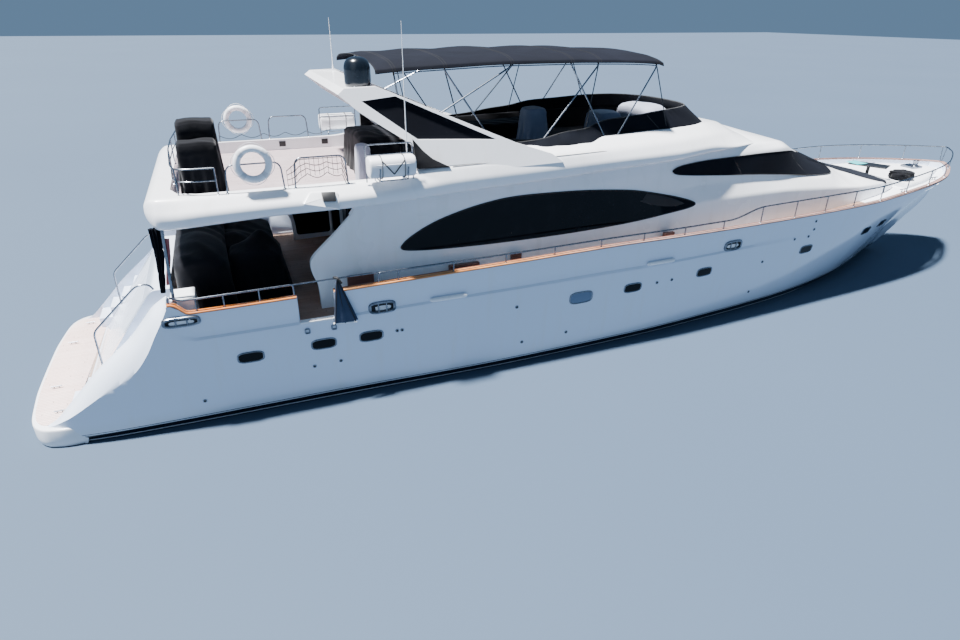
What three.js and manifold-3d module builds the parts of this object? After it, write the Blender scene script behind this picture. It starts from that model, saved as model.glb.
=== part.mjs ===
// A 31 m flybridge motor yacht, afloat. Millimetres; +X to the bow, +Y to port, +Z up; the origin is amidships on the centreline, in the waterline plane.
import * as THREE from "three";
import Module from "manifold-3d";
import { mergeVertices } from "three/addons/utils/BufferGeometryUtils.js";

const wasm = await Module();
wasm.setup();
const yacht = new THREE.Group();
yacht.name = "motor_yacht";

// Driving dimensions

const GAP = 0.4; // between pieces that touch
const SIDES = { starboard: -1, port: 1 };
const BULWARK = 130; // thickness
const DECK_AFT = 2150; // cockpit and side deck at the gates
const PLATFORM_Z = 460; // top of the swim platform
const STAIR = { inner: 1950, outer: 2700, footX: -14650, run: 330, steps: 6 };
// The transom slopes from foot to head: "along" runs up it and "out" stands off it.
const TRANSOM = { foot: [-14400, 620], head: [-12780, 2780] };
const GARAGE_DOOR = {
  from: 258,
  to: 2342,
  halfY: 1592,
  thick: 60,
  pivotAlong: 2312,
  pivotOut: -30,
};
const GATE = { aft: -9820, fore: -9030, sill: 2180 };
const GATE_PIN = { x: -9810, y: 3195 };
const TEAK = 14; // thickness
const CAP = { width: 160, thick: 35 }; // cap rail on the bulwark
const WALL = 80; // deckhouse side and roof
const GLASS = 14; // window panes
const BULKHEAD = { aft: -8100, fore: -8020, head: 4250 }; // aft end of the saloon
// How far out the arch's side stands at a height, and how much it leans in per unit of rise
const LEAN = { y: 2825, z: 5200, rate: 0.27 };
const DOME = { x: -7890, y: -2000, foot: 6820 };
const RAIL = 16; // radius
const RAFT = { x: -7560, y: 3180, r: 240, half: 500, cradleZ: 5150, rest: 11.6 };
const RING = { x: -10280, off: 87.7, z: 5610, r: 300, tube: 75 };
const CANVAS_Y = { skirt: 2250, edge: 2210, shoulder: 1500 };
const CLOTH = 14; // thickness of the bimini's canvas
// A bimini bow's bar, and how far it presses up into the canvas's own thickness
const BOW = { radius: 14, press: 3 };
// The rail's foremost point
const PULPIT = { x: 15040, z: 3770 };
// The table stands askew on the forward end of the trunk
const TABLE = { x: 10240, y: -620, z: 3560, half: [600, 330], turn: -1.107 };
const SHAFT = { fore: [-6900, -760], aft: [-11750, -1400], y: 1250, radius: 45 };
const RUDDER = { x: -12700, y: 1250, stock: 45, top: -560 }; // stock is its radius
// Foot of the whip aerial beside the starboard arch foot
const AERIAL = [-7130, -2890, 5000];

// colour, roughness, metalness
const FINISH = {
  gelcoat: [0xeef0f2, 0.22, 0],
  antifouling: [0x11141a, 0.8, 0],
  teak: [0x9c8474, 0.75, 0],
  varnish: [0x8f4a1c, 0.25, 0],
  glass: [0x07090b, 0.06, 0],
  mesh: [0x0b0d12, 0.85, 0],
  canvas: [0x1b2230, 0.9, 0],
  cover: [0x0c0d10, 0.9, 0],
  greyCover: [0x5c6470, 0.85, 0],
  panel: [0x0c1424, 0.5, 0],
  plastic: [0xdadad6, 0.4, 0],
  dome: [0x0b0c0e, 0.35, 0],
  stainless: [0xc8ccd0, 0.18, 1],
  bronze: [0x9a7b45, 0.4, 1],
};

const groups = {};
for (const name of ["hull", "deck", "house", "flybridge", "bimini", "underwater"]) {
  groups[name] = new THREE.Group();
  groups[name].name = name + "_group";
  yacht.add(groups[name]);
}
groups.flybridge.add(groups.bimini);

// Solids

/** Manifold of a closed three.js geometry, turned right side out. */
function solid(geometry) {
  const flat = geometry.index ? geometry.toNonIndexed() : geometry;
  const merged = mergeVertices(
    new THREE.BufferGeometry().setAttribute(
      "position",
      flat.getAttribute("position"),
    ),
    1e-2,
  );
  const index = [];
  for (let i = 0; i < merged.index.count; i += 3) {
    const [a, b, c] = [0, 1, 2].map((k) => merged.index.getX(i + k));
    if (a !== b && b !== c && c !== a) index.push(a, b, c);
  }
  const build = (triVerts) =>
    new wasm.Manifold(
      new wasm.Mesh({
        numProp: 3,
        vertProperties: merged.attributes.position.array,
        triVerts: new Uint32Array(triVerts),
      }),
    );
  const made = build(index);
  if (made.volume() > 0) return made;
  for (let i = 0; i < index.length; i += 3)
    [index[i + 1], index[i + 2]] = [index[i + 2], index[i + 1]];
  return build(index);
}

/** Adds a manifold, given where it stands, as one named mesh of a group, and returns it. A pin is where the mesh's own origin lies, and turn is its rotation there. */
function add(group, name, finish, body, pin = [0, 0, 0], turn = [0, 0, 0]) {
  const mesh = body.getMesh();
  const xyz = new Float32Array(mesh.numVert * 3);
  for (let i = 0; i < mesh.numVert; i++)
    xyz.set(
      mesh.vertProperties.subarray(i * mesh.numProp, i * mesh.numProp + 3),
      i * 3,
    );
  const geometry = new THREE.BufferGeometry()
    .setAttribute("position", new THREE.BufferAttribute(xyz, 3))
    .setIndex(new THREE.BufferAttribute(mesh.triVerts, 1));
  const [color, roughness, metalness] = FINISH[finish];
  const made = new THREE.Mesh(
    geometry,
    new THREE.MeshStandardMaterial({ color, roughness, metalness }),
  );
  made.name = name;
  made.position.set(...pin);
  made.rotation.set(...turn);
  made.updateMatrix();
  geometry.applyMatrix4(made.matrix.clone().invert());
  geometry.computeVertexNormals();
  groups[group].add(made);
  return body;
}

/** The body less its neighbour above it, with the standard gap under that neighbour. */
const hungFrom = (body, over) => body.subtract(over.translate([0, 0, -GAP]));
const union = (bodies) => bodies.reduce((a, b) => a.add(b));
const mirrored = (body) => body.mirror([0, 1, 0]);
/** The body less its neighbour, with the standard gap above that neighbour. */
const seatedOn = (body, below) =>
  body.subtract(below.translate([0, 0, GAP]));

const box = ([x0, x1], [y0, y1], [z0, z1]) =>
  solid(
    new THREE.BoxGeometry(x1 - x0, y1 - y0, z1 - z0).translate(
      (x0 + x1) / 2,
      (y0 + y1) / 2,
      (z0 + z1) / 2,
    ),
  );

const shapeOf = (points) =>
  new THREE.Shape(points.map(([u, v]) => new THREE.Vector2(u, v)));
const extruded = (shape, depth, curveSegments = 6) =>
  new THREE.ExtrudeGeometry(shape, {
    depth,
    bevelEnabled: false,
    curveSegments,
  });
/** An outline in X and Z, from y0 to y1. */
const prismXZ = (points, y0, y1) =>
  solid(
    extruded(shapeOf(points), y1 - y0)
      .rotateX(Math.PI / 2)
      .translate(0, y1, 0),
  );
/** An outline in X and Y, from z0 to z1. */
const prismXY = (points, z0, z1) =>
  solid(extruded(shapeOf(points), z1 - z0).translate(0, 0, z0));
/** A smooth closed outline through a few points, as a short list of points. */
const smooth = (points, count) =>
  new THREE.SplineCurve([...points, points[0]].map(([u, v]) => new THREE.Vector2(u, v)))
    .getPoints(count)
    .slice(0, -1)
    .map((p) => [p.x, p.y]);

/** Skin through rings of as many points each, closed by a fan at each end. */
function loft(rings) {
  const xyz = [];
  const n = rings[0].length;
  const put = (...corners) => corners.forEach((c) => xyz.push(...c));
  for (let s = 0; s + 1 < rings.length; s++)
    for (let i = 0; i < n; i++) {
      const j = (i + 1) % n;
      const [a, b, c, d] = [rings[s][i], rings[s][j], rings[s + 1][j], rings[s + 1][i]];
      put(a, b, c);
      put(a, c, d);
    }
  const last = rings[rings.length - 1];
  for (let i = 1; i + 1 < n; i++) {
    put(rings[0][0], rings[0][i + 1], rings[0][i]);
    put(last[0], last[i], last[i + 1]);
  }
  return solid(
    new THREE.BufferGeometry().setAttribute(
      "position",
      new THREE.BufferAttribute(new Float32Array(xyz), 3),
    ),
  );
}

/** A ring across the boat at x: half of it, as [y, z] from the bottom to the top, and its mirror image. */
const acrossRing = (x, half) => [
  ...half.map(([y, z]) => [x, y, z]),
  ...half
    .filter(([y]) => y > 0)
    .reverse()
    .map(([y, z]) => [x, -y, z]),
];

/** A path that passes its own points exactly, so that a tube has no more steps than it needs. */
class Polyline extends THREE.Curve {
  constructor(points) {
    super();
    this.points = points.map((p) => new THREE.Vector3(...p));
  }
  getPoint(t, target = new THREE.Vector3()) {
    const n = this.points.length - 1;
    const s = Math.min(Math.max(t, 0), 1) * n;
    const i = Math.min(Math.floor(s + 1e-9), n - 1);
    return target.lerpVectors(this.points[i], this.points[i + 1], s - i);
  }
  getPointAt(u, target) {
    return this.getPoint(u, target);
  }
  getTangentAt(u, target = new THREE.Vector3()) {
    const n = this.points.length - 1;
    const i = Math.round(u * n);
    const here = this.points[i];
    const into = here.clone().sub(this.points[Math.max(i - 1, 0)]).normalize();
    const out = this.points[Math.min(i + 1, n)].clone().sub(here).normalize();
    return target.copy(into.add(out)).normalize();
  }
}

/** A round bar along a polyline. */
function tube(points, radius, sides = 6) {
  const ring = Array.from({ length: sides }, (_, i) => {
    const turn = (2 * Math.PI * i) / sides;
    return [radius * Math.cos(turn), radius * Math.sin(turn)];
  });
  return solid(
    new THREE.ExtrudeGeometry(shapeOf(ring), {
      steps: points.length - 1,
      extrudePath: new Polyline(points),
      bevelEnabled: false,
    }),
  );
}

/** A turned piece: profile is [radius, height], its axis along Z at a place. */
const turned = (profile, segments, place = [0, 0, 0]) =>
  solid(
    new THREE.LatheGeometry(
      profile.map(([r, z]) => new THREE.Vector2(r, z)),
      segments,
    )
      .rotateX(Math.PI / 2)
      .translate(...place),
  );

/** The value of a column at x, between the rows of a table whose first column is x. */
function at(table, x, column) {
  if (x <= table[0][0]) return table[0][column];
  for (let i = 0; i + 1 < table.length; i++) {
    const [a, b] = [table[i], table[i + 1]];
    if (x <= b[0])
      return a[column] + ((x - a[0]) / (b[0] - a[0])) * (b[column] - a[column]);
  }
  return table[table.length - 1][column];
}

// Hull

const TOP_Y = 8,
  TOP_Z = 9;
// x, keelZ, chineY, chineZ, lowY, lowZ, midY, midZ, topY, topZ
const HULL = [
  [-15100, -950, 2600, -170, 2780, 300, 2810, 1400, 2820, 3000],
  [-14600, -1000, 2800, -175, 2990, 300, 3050, 1400, 3100, 3000],
  [-13600, -1040, 2900, -180, 3080, 300, 3160, 1400, 3240, 3000],
  [-12250, -1080, 2940, -180, 3120, 300, 3230, 1500, 3330, 2990],
  [-11950, -1085, 2945, -180, 3125, 300, 3235, 1500, 3340, 2770],
  [-9400, -1150, 2990, -175, 3140, 300, 3285, 1500, 3350, 2800],
  [-5000, -1250, 3050, -160, 3240, 300, 3320, 1500, 3350, 2880],
  [-1000, -1300, 2960, -110, 3150, 300, 3270, 1500, 3350, 2960],
  [2000, -1300, 2750, -60, 2930, 350, 3100, 1550, 3220, 2930],
  [5000, -1250, 2420, 0, 2600, 450, 2870, 1600, 3020, 2920],
  [8000, -1100, 1770, 110, 2000, 600, 2470, 1750, 2790, 2950],
  [9500, -950, 1270, 190, 1540, 700, 2110, 1850, 2620, 3040],
  [11000, -560, 730, 370, 960, 900, 1620, 1950, 2360, 3120],
  [12500, 180, 240, 720, 410, 1180, 1000, 2100, 1880, 3150],
  [13900, 1180, 70, 1320, 150, 1550, 520, 2300, 1110, 3170],
  [14700, 1800, 30, 1860, 60, 2020, 240, 2560, 520, 3180],
  [15080, 2450, 20, 2480, 28, 2580, 45, 2780, 70, 3190],
];
const hullShell = loft(
  HULL.map(([x, keelZ, chineY, chineZ, lowY, lowZ, midY, midZ, topY, topZ]) =>
    acrossRing(x, [
      [0, keelZ],
      [chineY, chineZ],
      [lowY, lowZ],
      [midY, midZ],
      [topY, topZ],
      [0, topZ],
    ]),
  ),
);

// x, deckZ
const DECK = [
  [-12350, DECK_AFT],
  [-9000, DECK_AFT],
  [-1000, 2330],
  [5000, 2640],
  [8000, 2770],
  [9500, 2850],
  [11000, 2920],
  [12500, 2950],
  [13900, 2970],
  [14800, 2980],
];
const innerY = (x) => at(HULL, x, TOP_Y) - BULWARK;
/** The space over the deck and inside the bulwarks, from lift over the deck to a level top or a constant depth. */
const overDeck = (lift, depth, inset, rows = DECK) =>
  loft(
    rows.map(([x, z]) =>
      acrossRing(x, [
        [0, z + lift],
        [innerY(x) - inset, z + lift],
        [innerY(x) - inset, depth ? z + lift + depth : 3600],
        [0, depth ? z + lift + depth : 3600],
      ]),
    ),
  );

// x, z of the crest of each stern wing, and how much of the roll its outer edge has
const WING = [
  [-15300, 430, 0.1],
  [-15060, 480, 0.3],
  [-14600, 880, 0.75],
  [-14000, 1500, 1],
  [-13200, 2180, 1],
  [-12650, 2800, 0.7],
  [-12340, 3005, 0.1],
];
// y and drop from the crest outboard
const ROLL = [
  [2720, 0],
  [2860, 60],
  [2990, 190],
  [3110, 400],
  [3200, 680],
  [3320, 1150],
];
const wingCut = loft(
  WING.map(([x, z, part]) => [
    [x, STAIR.inner, z],
    ...ROLL.map(([y, drop]) => [x, y, z - drop * part]),
    [x, 3700, z - ROLL[ROLL.length - 1][1] * part],
    [x, 3700, 3800],
    [x, STAIR.inner, 3800],
  ]),
);
const stairRise = (DECK_AFT - PLATFORM_Z) / STAIR.steps;
const stairLine = [[-15300, PLATFORM_Z]];
for (let i = 0; i < STAIR.steps; i++) {
  const x = STAIR.footX + i * STAIR.run;
  stairLine.push([x, PLATFORM_Z + i * stairRise]);
  stairLine.push([x, PLATFORM_Z + (i + 1) * stairRise]);
}
stairLine.push([-12340, DECK_AFT]);

const slope = Math.atan2(
  TRANSOM.head[1] - TRANSOM.foot[1],
  TRANSOM.head[0] - TRANSOM.foot[0],
);
const onTransom = (along, out) => [
  TRANSOM.foot[0] + along * Math.cos(slope) - out * Math.sin(slope),
  TRANSOM.foot[1] + along * Math.sin(slope) + out * Math.cos(slope),
];
const transomBox = ([a0, a1], [o0, o1], halfY) =>
  prismXZ(
    [onTransom(a0, o0), onTransom(a0, o1), onTransom(a1, o1), onTransom(a1, o0)],
    -halfY,
    halfY,
  );

const above = (line, y0, y1) =>
  prismXZ([...line, [line[line.length - 1][0], 3600], [line[0][0], 3600]], y0, y1);

let hull = hullShell
  .subtract(overDeck(0, 0, 0))
  .subtract(wingCut)
  .subtract(mirrored(wingCut))
  .subtract(
    above(
      [
        [-15300, PLATFORM_Z],
        [-14520, PLATFORM_Z],
        TRANSOM.foot,
        TRANSOM.head,
        [-12700, 2850],
        [-12340, 2850],
      ],
      -STAIR.inner,
      STAIR.inner,
    ),
  );
for (const side of Object.values(SIDES)) {
  const [y0, y1] = [STAIR.inner * side, STAIR.outer * side].sort((a, b) => a - b);
  hull = hull.subtract(above(stairLine, y0, y1));
  const [g0, g1] = [3000 * side, 3600 * side].sort((a, b) => a - b);
  hull = hull.subtract(box([GATE.aft, GATE.fore], [g0, g1], [GATE.sill, 3600]));
  hull = hull.subtract(
    solid(
      new THREE.CylinderGeometry(RUDDER.stock + 0.9, RUDDER.stock + 0.9, 900, 24)
        .rotateX(Math.PI / 2)
        .translate(RUDDER.x, RUDDER.y * side, RUDDER.top + 2 - 450),
    ),
  );
}
// The tender garage behind the transom door
const garage = prismXZ(
  [
    onTransom(310, 100),
    onTransom(2290, 100),
    [-12900, 2350],
    [-12560, 2000],
    [-10600, 2000],
    [-10600, 700],
    [-13900, 700],
    [-14120, 820],
  ],
  -1530,
  1530,
);
hull = hull
  .subtract(garage)
  .subtract(transomBox([250, 2362], [-80, 100], 1600))
  .subtract(
    solid(
      new THREE.CylinderGeometry(12.6, 12.6, 3290, 16).translate(
        onTransom(GARAGE_DOOR.pivotAlong, GARAGE_DOOR.pivotOut)[0],
        0,
        onTransom(GARAGE_DOOR.pivotAlong, GARAGE_DOOR.pivotOut)[1],
      ),
    ),
  );
add("hull", "hull", "gelcoat", hull);

const garageDoor = transomBox(
  [GARAGE_DOOR.from, GARAGE_DOOR.to],
  [-GARAGE_DOOR.thick, 0],
  GARAGE_DOOR.halfY,
).add(
  solid(
    new THREE.CylinderGeometry(12, 12, 3270, 16).translate(
      onTransom(GARAGE_DOOR.pivotAlong, GARAGE_DOOR.pivotOut)[0],
      0,
      onTransom(GARAGE_DOOR.pivotAlong, GARAGE_DOOR.pivotOut)[1],
    ),
  ),
);
const doorPin = onTransom(GARAGE_DOOR.pivotAlong, GARAGE_DOOR.pivotOut);
add("hull", "garage_door", "gelcoat", garageDoor, [doorPin[0], 0, doorPin[1]], [0, -slope, 0]);
// A handrail each side of the door, from the slope over the transom's head
const HANDRAIL = [
  [-14020, 1060],
  [-14010, 2030],
  [-13020, 2950],
  [-12860, 2990],
  [-12720, 2950],
  [-12650, 2800],
];
for (const [name, side] of Object.entries(SIDES))
  add(
    "hull",
    "stern_handrail_" + name,
    "stainless",
    seatedOn(tube(HANDRAIL.map(([x, z]) => [x, side * 1860, z]), 16), hull),
  );

// x, y around the stern of the swim platform, port half
const PLATFORM = [
  [-15100 - GAP, 2860],
  [-15270, 2805],
  [-15400, 2640],
  [-15480, 2320],
  [-15535, 1900],
  [-15600, 1000],
];
// z and how far the edge is drawn in, up the platform's rounded edge
const PLATFORM_EDGE = [
  [-60, 150],
  [30, 50],
  [150, 5],
  [390, 0],
  [PLATFORM_Z, 25],
];
add(
  "hull",
  "swim_platform",
  "gelcoat",
  loft(
    PLATFORM_EDGE.map(([z, draw]) => {
      const half = PLATFORM.map(([x, y], i) => [x + (i ? draw : 0), y - draw, z]);
      return [...half, ...half.map(([x, y]) => [x, -y, z]).reverse()];
    }),
  ),
);
add("deck", "teak_deck", "teak", overDeck(GAP, TEAK, 8));
/** All up to just over the laid deck, for what stands on it. */
const deckStack = overDeck(-1000, 1000 + TEAK + 2 * GAP, 0);

// Gates: the leaf hangs on a barrel at its aft edge
const gateLeaf = union([
  box([0, 765], [-60, 0], [2230, 2790]),
  turned(
    [
      [0, DECK_AFT + TEAK + 2 * GAP],
      [10, DECK_AFT + TEAK + 2 * GAP],
      [10, 2790],
      [0, 2790],
    ],
    12,
  ),
]);
add(
  "hull",
  "gate_port",
  "gelcoat",
  mirrored(gateLeaf).translate([GATE_PIN.x, GATE_PIN.y, 0]),
  [GATE_PIN.x, GATE_PIN.y, GATE.sill],
);
add(
  "hull",
  "gate_starboard",
  "gelcoat",
  gateLeaf.rotate([0, 0, 180]).translate([GATE_PIN.x, -GATE_PIN.y, 0]),
  [GATE_PIN.x, -GATE_PIN.y, GATE.sill],
  [0, 0, Math.PI],
);

// Cap rails on the bulwarks: one from gate to gate round the bow, and one abaft each gate
const capRing = (x, side) => {
  const y = at(HULL, x, TOP_Y) - BULWARK / 2,
    z = at(HULL, x, TOP_Z) + GAP,
    half = Math.min(CAP.width / 2, y);
  return [
    [x, side * (y - half), z],
    [x, side * (y + CAP.width / 2), z],
    [x, side * (y + CAP.width / 2), z + CAP.thick],
    [x, side * (y - half), z + CAP.thick],
  ];
};
const capXs = [GATE.fore + 2, ...HULL.map(([x]) => x).filter((x) => x > GATE.fore && x < 15000), 15000];
const capsAft = {};
for (const [name, side] of Object.entries(SIDES))
  capsAft[name] = add(
    "deck",
    "caprail_aft_" + name,
    "varnish",
    loft([-11930, GATE.aft - 2].map((x) => capRing(x, side))),
  );
const BOW_CAP = { inner: 15030, outer: 15130, z: 3192 + GAP };
const capForward = add(
  "deck",
  "caprail_forward",
  "teak",
  loft([
    ...capXs.map((x) => capRing(x, -1)),
    [
      [BOW_CAP.inner, 0, BOW_CAP.z],
      [BOW_CAP.outer, 0, BOW_CAP.z],
      [BOW_CAP.outer, 0, BOW_CAP.z + CAP.thick],
      [BOW_CAP.inner, 0, BOW_CAP.z + CAP.thick],
    ],
    ...[...capXs].reverse().map((x) => capRing(x, 1)),
  ]),
);

// Deckhouse

// x, baseY, shelfY, shelfZ, footY, footZ, browY, browZ, shoulderY, shoulderZ, crownZ
const HOUSE = [
  [-9500, 2670, 2670, 2900, 2660, 3400, 2600, 4300, 2560, 4590, 4590],
  [-7850, 2680, 2675, 2900, 2660, 3400, 2600, 4300, 2560, 4590, 4590],
  [-6100, 2680, 2675, 2900, 2660, 3400, 2600, 4320, 2550, 4640, 4640],
  [-3500, 2680, 2675, 3000, 2655, 3500, 2600, 4350, 2540, 4720, 4720],
  [-1500, 2650, 2640, 3150, 2600, 3700, 2540, 4450, 2480, 4800, 4800],
  [200, 2600, 2590, 3300, 2480, 3900, 2400, 4540, 2330, 4860, 4880],
  [1500, 2540, 2520, 3600, 2380, 4000, 2300, 4720, 2200, 4920, 5000],
  [3300, 2470, 2420, 3600, 2260, 3950, 2120, 4760, 1980, 4960, 5270],
  [4600, 2380, 2320, 3580, 2150, 3850, 1920, 4780, 1700, 4920, 5000],
  [5800, 2300, 2220, 3500, 2030, 3790, 1300, 4480, 1000, 4560, 4600],
  [6860, 2200, 2130, 3420, 1880, 3740, 700, 4180, 450, 4220, 4250],
  [7600, 2130, 2060, 3370, 1400, 3710, 560, 3920, 400, 3950, 3970],
  [8350, 2050, 1990, 3310, 800, 3680, 300, 3712, 200, 3716, 3720],
  [9900, 1720, 1680, 3230, 900, 3340, 300, 3380, 200, 3386, 3390],
  [10600, 1480, 1420, 3130, 800, 3180, 300, 3200, 200, 3203, 3205],
];
/** The house's skin moved in by t, with its bottom at bottomZ. */
const houseSkin = (rows, t, bottomZ, raise = 0) =>
  loft(
    rows.map(
      ([x, baseY, shelfY, shelfZ, footY, footZ, browY, browZ, shoulderY, shoulderZ, crownZ]) =>
        acrossRing(x, [
          [0, bottomZ],
          [baseY - t, bottomZ],
          [shelfY - t, shelfZ - t * 0.3],
          [Math.max(footY - t, 60), footZ - t * 0.6 + raise],
          [Math.max(browY - t, 50), browZ - t * 0.8 + raise],
          [Math.max(shoulderY - t, 40), shoulderZ - t + raise],
          [0, crownZ - t + raise],
        ]),
    ),
  );
const houseOuter = houseSkin(HOUSE, 0, 2000);
const houseRoomRows = HOUSE.filter(([x]) => x <= 8350).map((row) => [...row]);
houseRoomRows[0][0] = -9700;
houseRoomRows[houseRoomRows.length - 1][0] = 7900;
const houseInner = houseSkin(houseRoomRows, WALL, 1990);

// x, z of each window's outline on the house's side
const SALOON_WINDOW = smooth(
  [
    [-7250, 3480],
    [-6950, 3290],
    [-4800, 3220],
    [-1940, 3260],
    [-70, 3380],
    [1150, 3590],
    [-500, 4050],
    [-1750, 4225],
    [-3200, 4310],
    [-4820, 4280],
    [-6340, 3950],
  ],
  36,
);
const WHEELHOUSE_WINDOW = [
  [310, 4490],
  [500, 4390],
  [3550, 4120],
  [4780, 3990],
  [4720, 4650],
  [3300, 4700],
  [1500, 4690],
  [700, 4620],
];
// x, y in plan, port half, around the windscreen: along its foot, then back along its head
const WINDSCREEN_FOOT = [
  [4930, 2020],
  [6900, 1830],
  [7600, 1370],
  [8050, 800],
  [8230, 250],
];
const WINDSCREEN_HEAD = [
  [6800, 250],
  [6500, 720],
  [5850, 1330],
  [4930, 1900],
];
const windscreenPlan = [
  ...WINDSCREEN_FOOT,
  ...WINDSCREEN_FOOT.map(([x, y]) => [x, -y]).reverse(),
  ...WINDSCREEN_HEAD.map(([x, y]) => [x, -y]).reverse(),
  ...WINDSCREEN_HEAD,
];

/** An outline moved in toward its own middle by a distance. */
function inset(points, distance) {
  const n = points.length;
  const area = points.reduce((sum, [x, y], i) => {
    const [u, v] = points[(i + 1) % n];
    return sum + x * v - u * y;
  }, 0);
  const turn = Math.sign(area);
  return points.map((p, i) => {
    const a = points[(i + n - 1) % n],
      b = points[(i + 1) % n];
    const edge = (q, r) => {
      const [dx, dy] = [r[0] - q[0], r[1] - q[1]];
      const size = Math.hypot(dx, dy);
      return [(-dy / size) * turn, (dx / size) * turn];
    };
    const [m, k] = [edge(a, p), edge(p, b)];
    const scale = distance / Math.max(1 + m[0] * k[0] + m[1] * k[1], 0.5);
    return [p[0] + (m[0] + k[0]) * scale, p[1] + (m[1] + k[1]) * scale];
  });
}

const paneSkin = houseOuter.subtract(houseSkin(HOUSE, GLASS, 1990));
const sideCut = (outline, side) =>
  side < 0 ? prismXZ(outline, -2900, -1500) : prismXZ(outline, 1500, 2900);

// x, z of the aft edge of the house's side wings
const WING_WALL = [
  [-9800, 4900],
  [-8300, 4900],
  [-8530, 4130],
  [-9230, 3530],
  [-9370, 3360],
  [-9370, 2900],
  [-9230, 2810],
  [-9225, 2500],
  [-9180, 1900],
  [-9800, 1900],
];
let house = houseOuter
  .subtract(houseInner)
  .subtract(prismXZ(WING_WALL, -3000, 3000))
  .subtract(box([-9800, -8110], [-2400, 2400], [4300, 4900]));
for (const side of Object.values(SIDES))
  house = house
    .subtract(sideCut(SALOON_WINDOW, side))
    .subtract(sideCut(WHEELHOUSE_WINDOW, side));
house = house.subtract(prismXY(windscreenPlan, 3500, 5200));
house = house.subtract(deckStack);
add("house", "deckhouse", "gelcoat", house);

for (const [name, side] of Object.entries(SIDES)) {
  add("house", "saloon_window_" + name, "glass", paneSkin.intersect(sideCut(inset(SALOON_WINDOW, GAP), side)));
  add("house", "wheelhouse_window_" + name, "glass", paneSkin.intersect(sideCut(inset(WHEELHOUSE_WINDOW, GAP), side)));
}
add("house", "windshield", "mesh", paneSkin.intersect(prismXY(inset(windscreenPlan, GAP), 3500, 5200)));

// Aft bulkhead with a sliding door of two leaves
const houseRoom = houseSkin(houseRoomRows, WALL + GAP, 1990);
let bulkhead = box([BULKHEAD.aft, BULKHEAD.fore], [-2700, 2700], [1990, 4900])
  .intersect(houseRoom)
  .subtract(box([BULKHEAD.aft - 10, BULKHEAD.fore + 10], [-760, 760], [1900, BULKHEAD.head]));
bulkhead = bulkhead.subtract(deckStack);
add("house", "aft_bulkhead", "gelcoat", bulkhead);
for (const [name, side] of Object.entries(SIDES)) {
  const [y0, y1] = [3 * side, 800 * side].sort((a, b) => a - b);
  add(
    "house",
    "saloon_door_" + name,
    "glass",
    box([BULKHEAD.fore + 6, BULKHEAD.fore + 46], [y0, y1], [2188.2, 4300]),
    [BULKHEAD.fore + 26, (y0 + y1) / 2, 3244],
  );
}

// Flybridge

// x, lowY, lowZ, bulgeY, bulgeZ, edgeY, edgeZ, innerY, innerZ
const FLY = [
  [-12400, 2700, 4500, 2760, 4720, 2700, 4990, 2600, 5000],
  [-12150, 3060, 4460, 3110, 4720, 2950, 5040, 2850, 5050],
  [-11400, 3200, 4500, 3240, 4760, 2980, 5050, 2880, 5060],
  [-9400, 3200, 4570, 3240, 4800, 2980, 5050, 2880, 5060],
  [-7850, 3150, 4570, 3190, 4810, 2960, 5060, 2860, 5070],
  [-6900, 3070, 4595, 3110, 4850, 2920, 5160, 2650, 5270],
  [-6100, 3000, 4620, 3050, 4880, 2900, 5240, 2480, 5420],
  [-3500, 2900, 4700, 2950, 4940, 2830, 5270, 2420, 5500],
  [-1500, 2800, 4780, 2850, 5000, 2700, 5290, 2350, 5560],
  [200, 2700, 4840, 2740, 5030, 2550, 5340, 2200, 5590],
  [1500, 2450, 4900, 2500, 5060, 2250, 5370, 1850, 5590],
  [2600, 2200, 4930, 2210, 4990, 1750, 5320, 1200, 5510],
  [3300, 1980, 4950, 1970, 4985, 1300, 5190, 650, 5300],
  [3800, 1820, 4900, 1790, 4950, 900, 5070, 450, 5125],
];
const flyOuter = loft(
  FLY.map(([x, lowY, lowZ, bulgeY, bulgeZ, edgeY, edgeZ, innY, innZ]) =>
    acrossRing(x, [
      [0, lowZ],
      [lowY, lowZ],
      [bulgeY, bulgeZ],
      [edgeY, edgeZ],
      [innY, innZ],
      [0, innZ],
    ]),
  ),
);
// x, deckZ, halfY
const FLY_DECK = [
  [-11900, 4760, 2200],
  [-11760, 4760, 2600],
  [-11400, 4760, 2770],
  [-7850, 4760, 2750],
  [-6900, 4760, 2540],
  [-6600, 4960, 2470],
  [-6100, 4960, 2370],
  [-3500, 4960, 2310],
  [-1500, 5000, 2240],
  [200, 5040, 2090],
  [1250, 5100, 1800],
];
const flyWell = loft(
  FLY_DECK.map(([x, z, y]) =>
    acrossRing(x, [
      [0, z],
      [y, z],
      [y, 5900],
      [0, 5900],
    ]),
  ),
);
const houseMass = house.add(
  houseOuter.intersect(box([BULKHEAD.aft, 11000], [-3000, 3000], [1900, 5600])),
);
const fly = add("flybridge", "flybridge", "gelcoat", seatedOn(flyOuter.subtract(flyWell), houseMass));

// Poles from the cockpit's corners to the flybridge
for (const [name, side] of Object.entries(SIDES))
  add(
    "house",
    "overhang_pole_" + name,
    "stainless",
    seatedOn(
      tube(
        [
          [-12200, side * 3150, 2700],
          [-12120, side * 2950, 4700],
        ],
        32,
        8,
      )
        .subtract(flyOuter.translate([0, 0, -GAP])),
      hull,
    ),
  );

// A mesh curtain drawn together beside the starboard pole
// x0, x1, y0, y1, z of its foot and of its head
const CURTAIN = [
  [-12390, -12310, -2925, -2875, 3130],
  [-12375, -12170, -2915, -2865, 4700],
];
add(
  "house",
  "stern_curtain",
  "mesh",
  hungFrom(
    loft(
      CURTAIN.map(([x0, x1, y0, y1, z]) => [
        [x0, y0, z],
        [x1, y0, z],
        [x1, y1, z],
        [x0, y1, z],
      ]),
    ),
    flyOuter,
  ).subtract(box([-12500, -12000], [-3000, -2800], [4500, 4800])),
);

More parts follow.
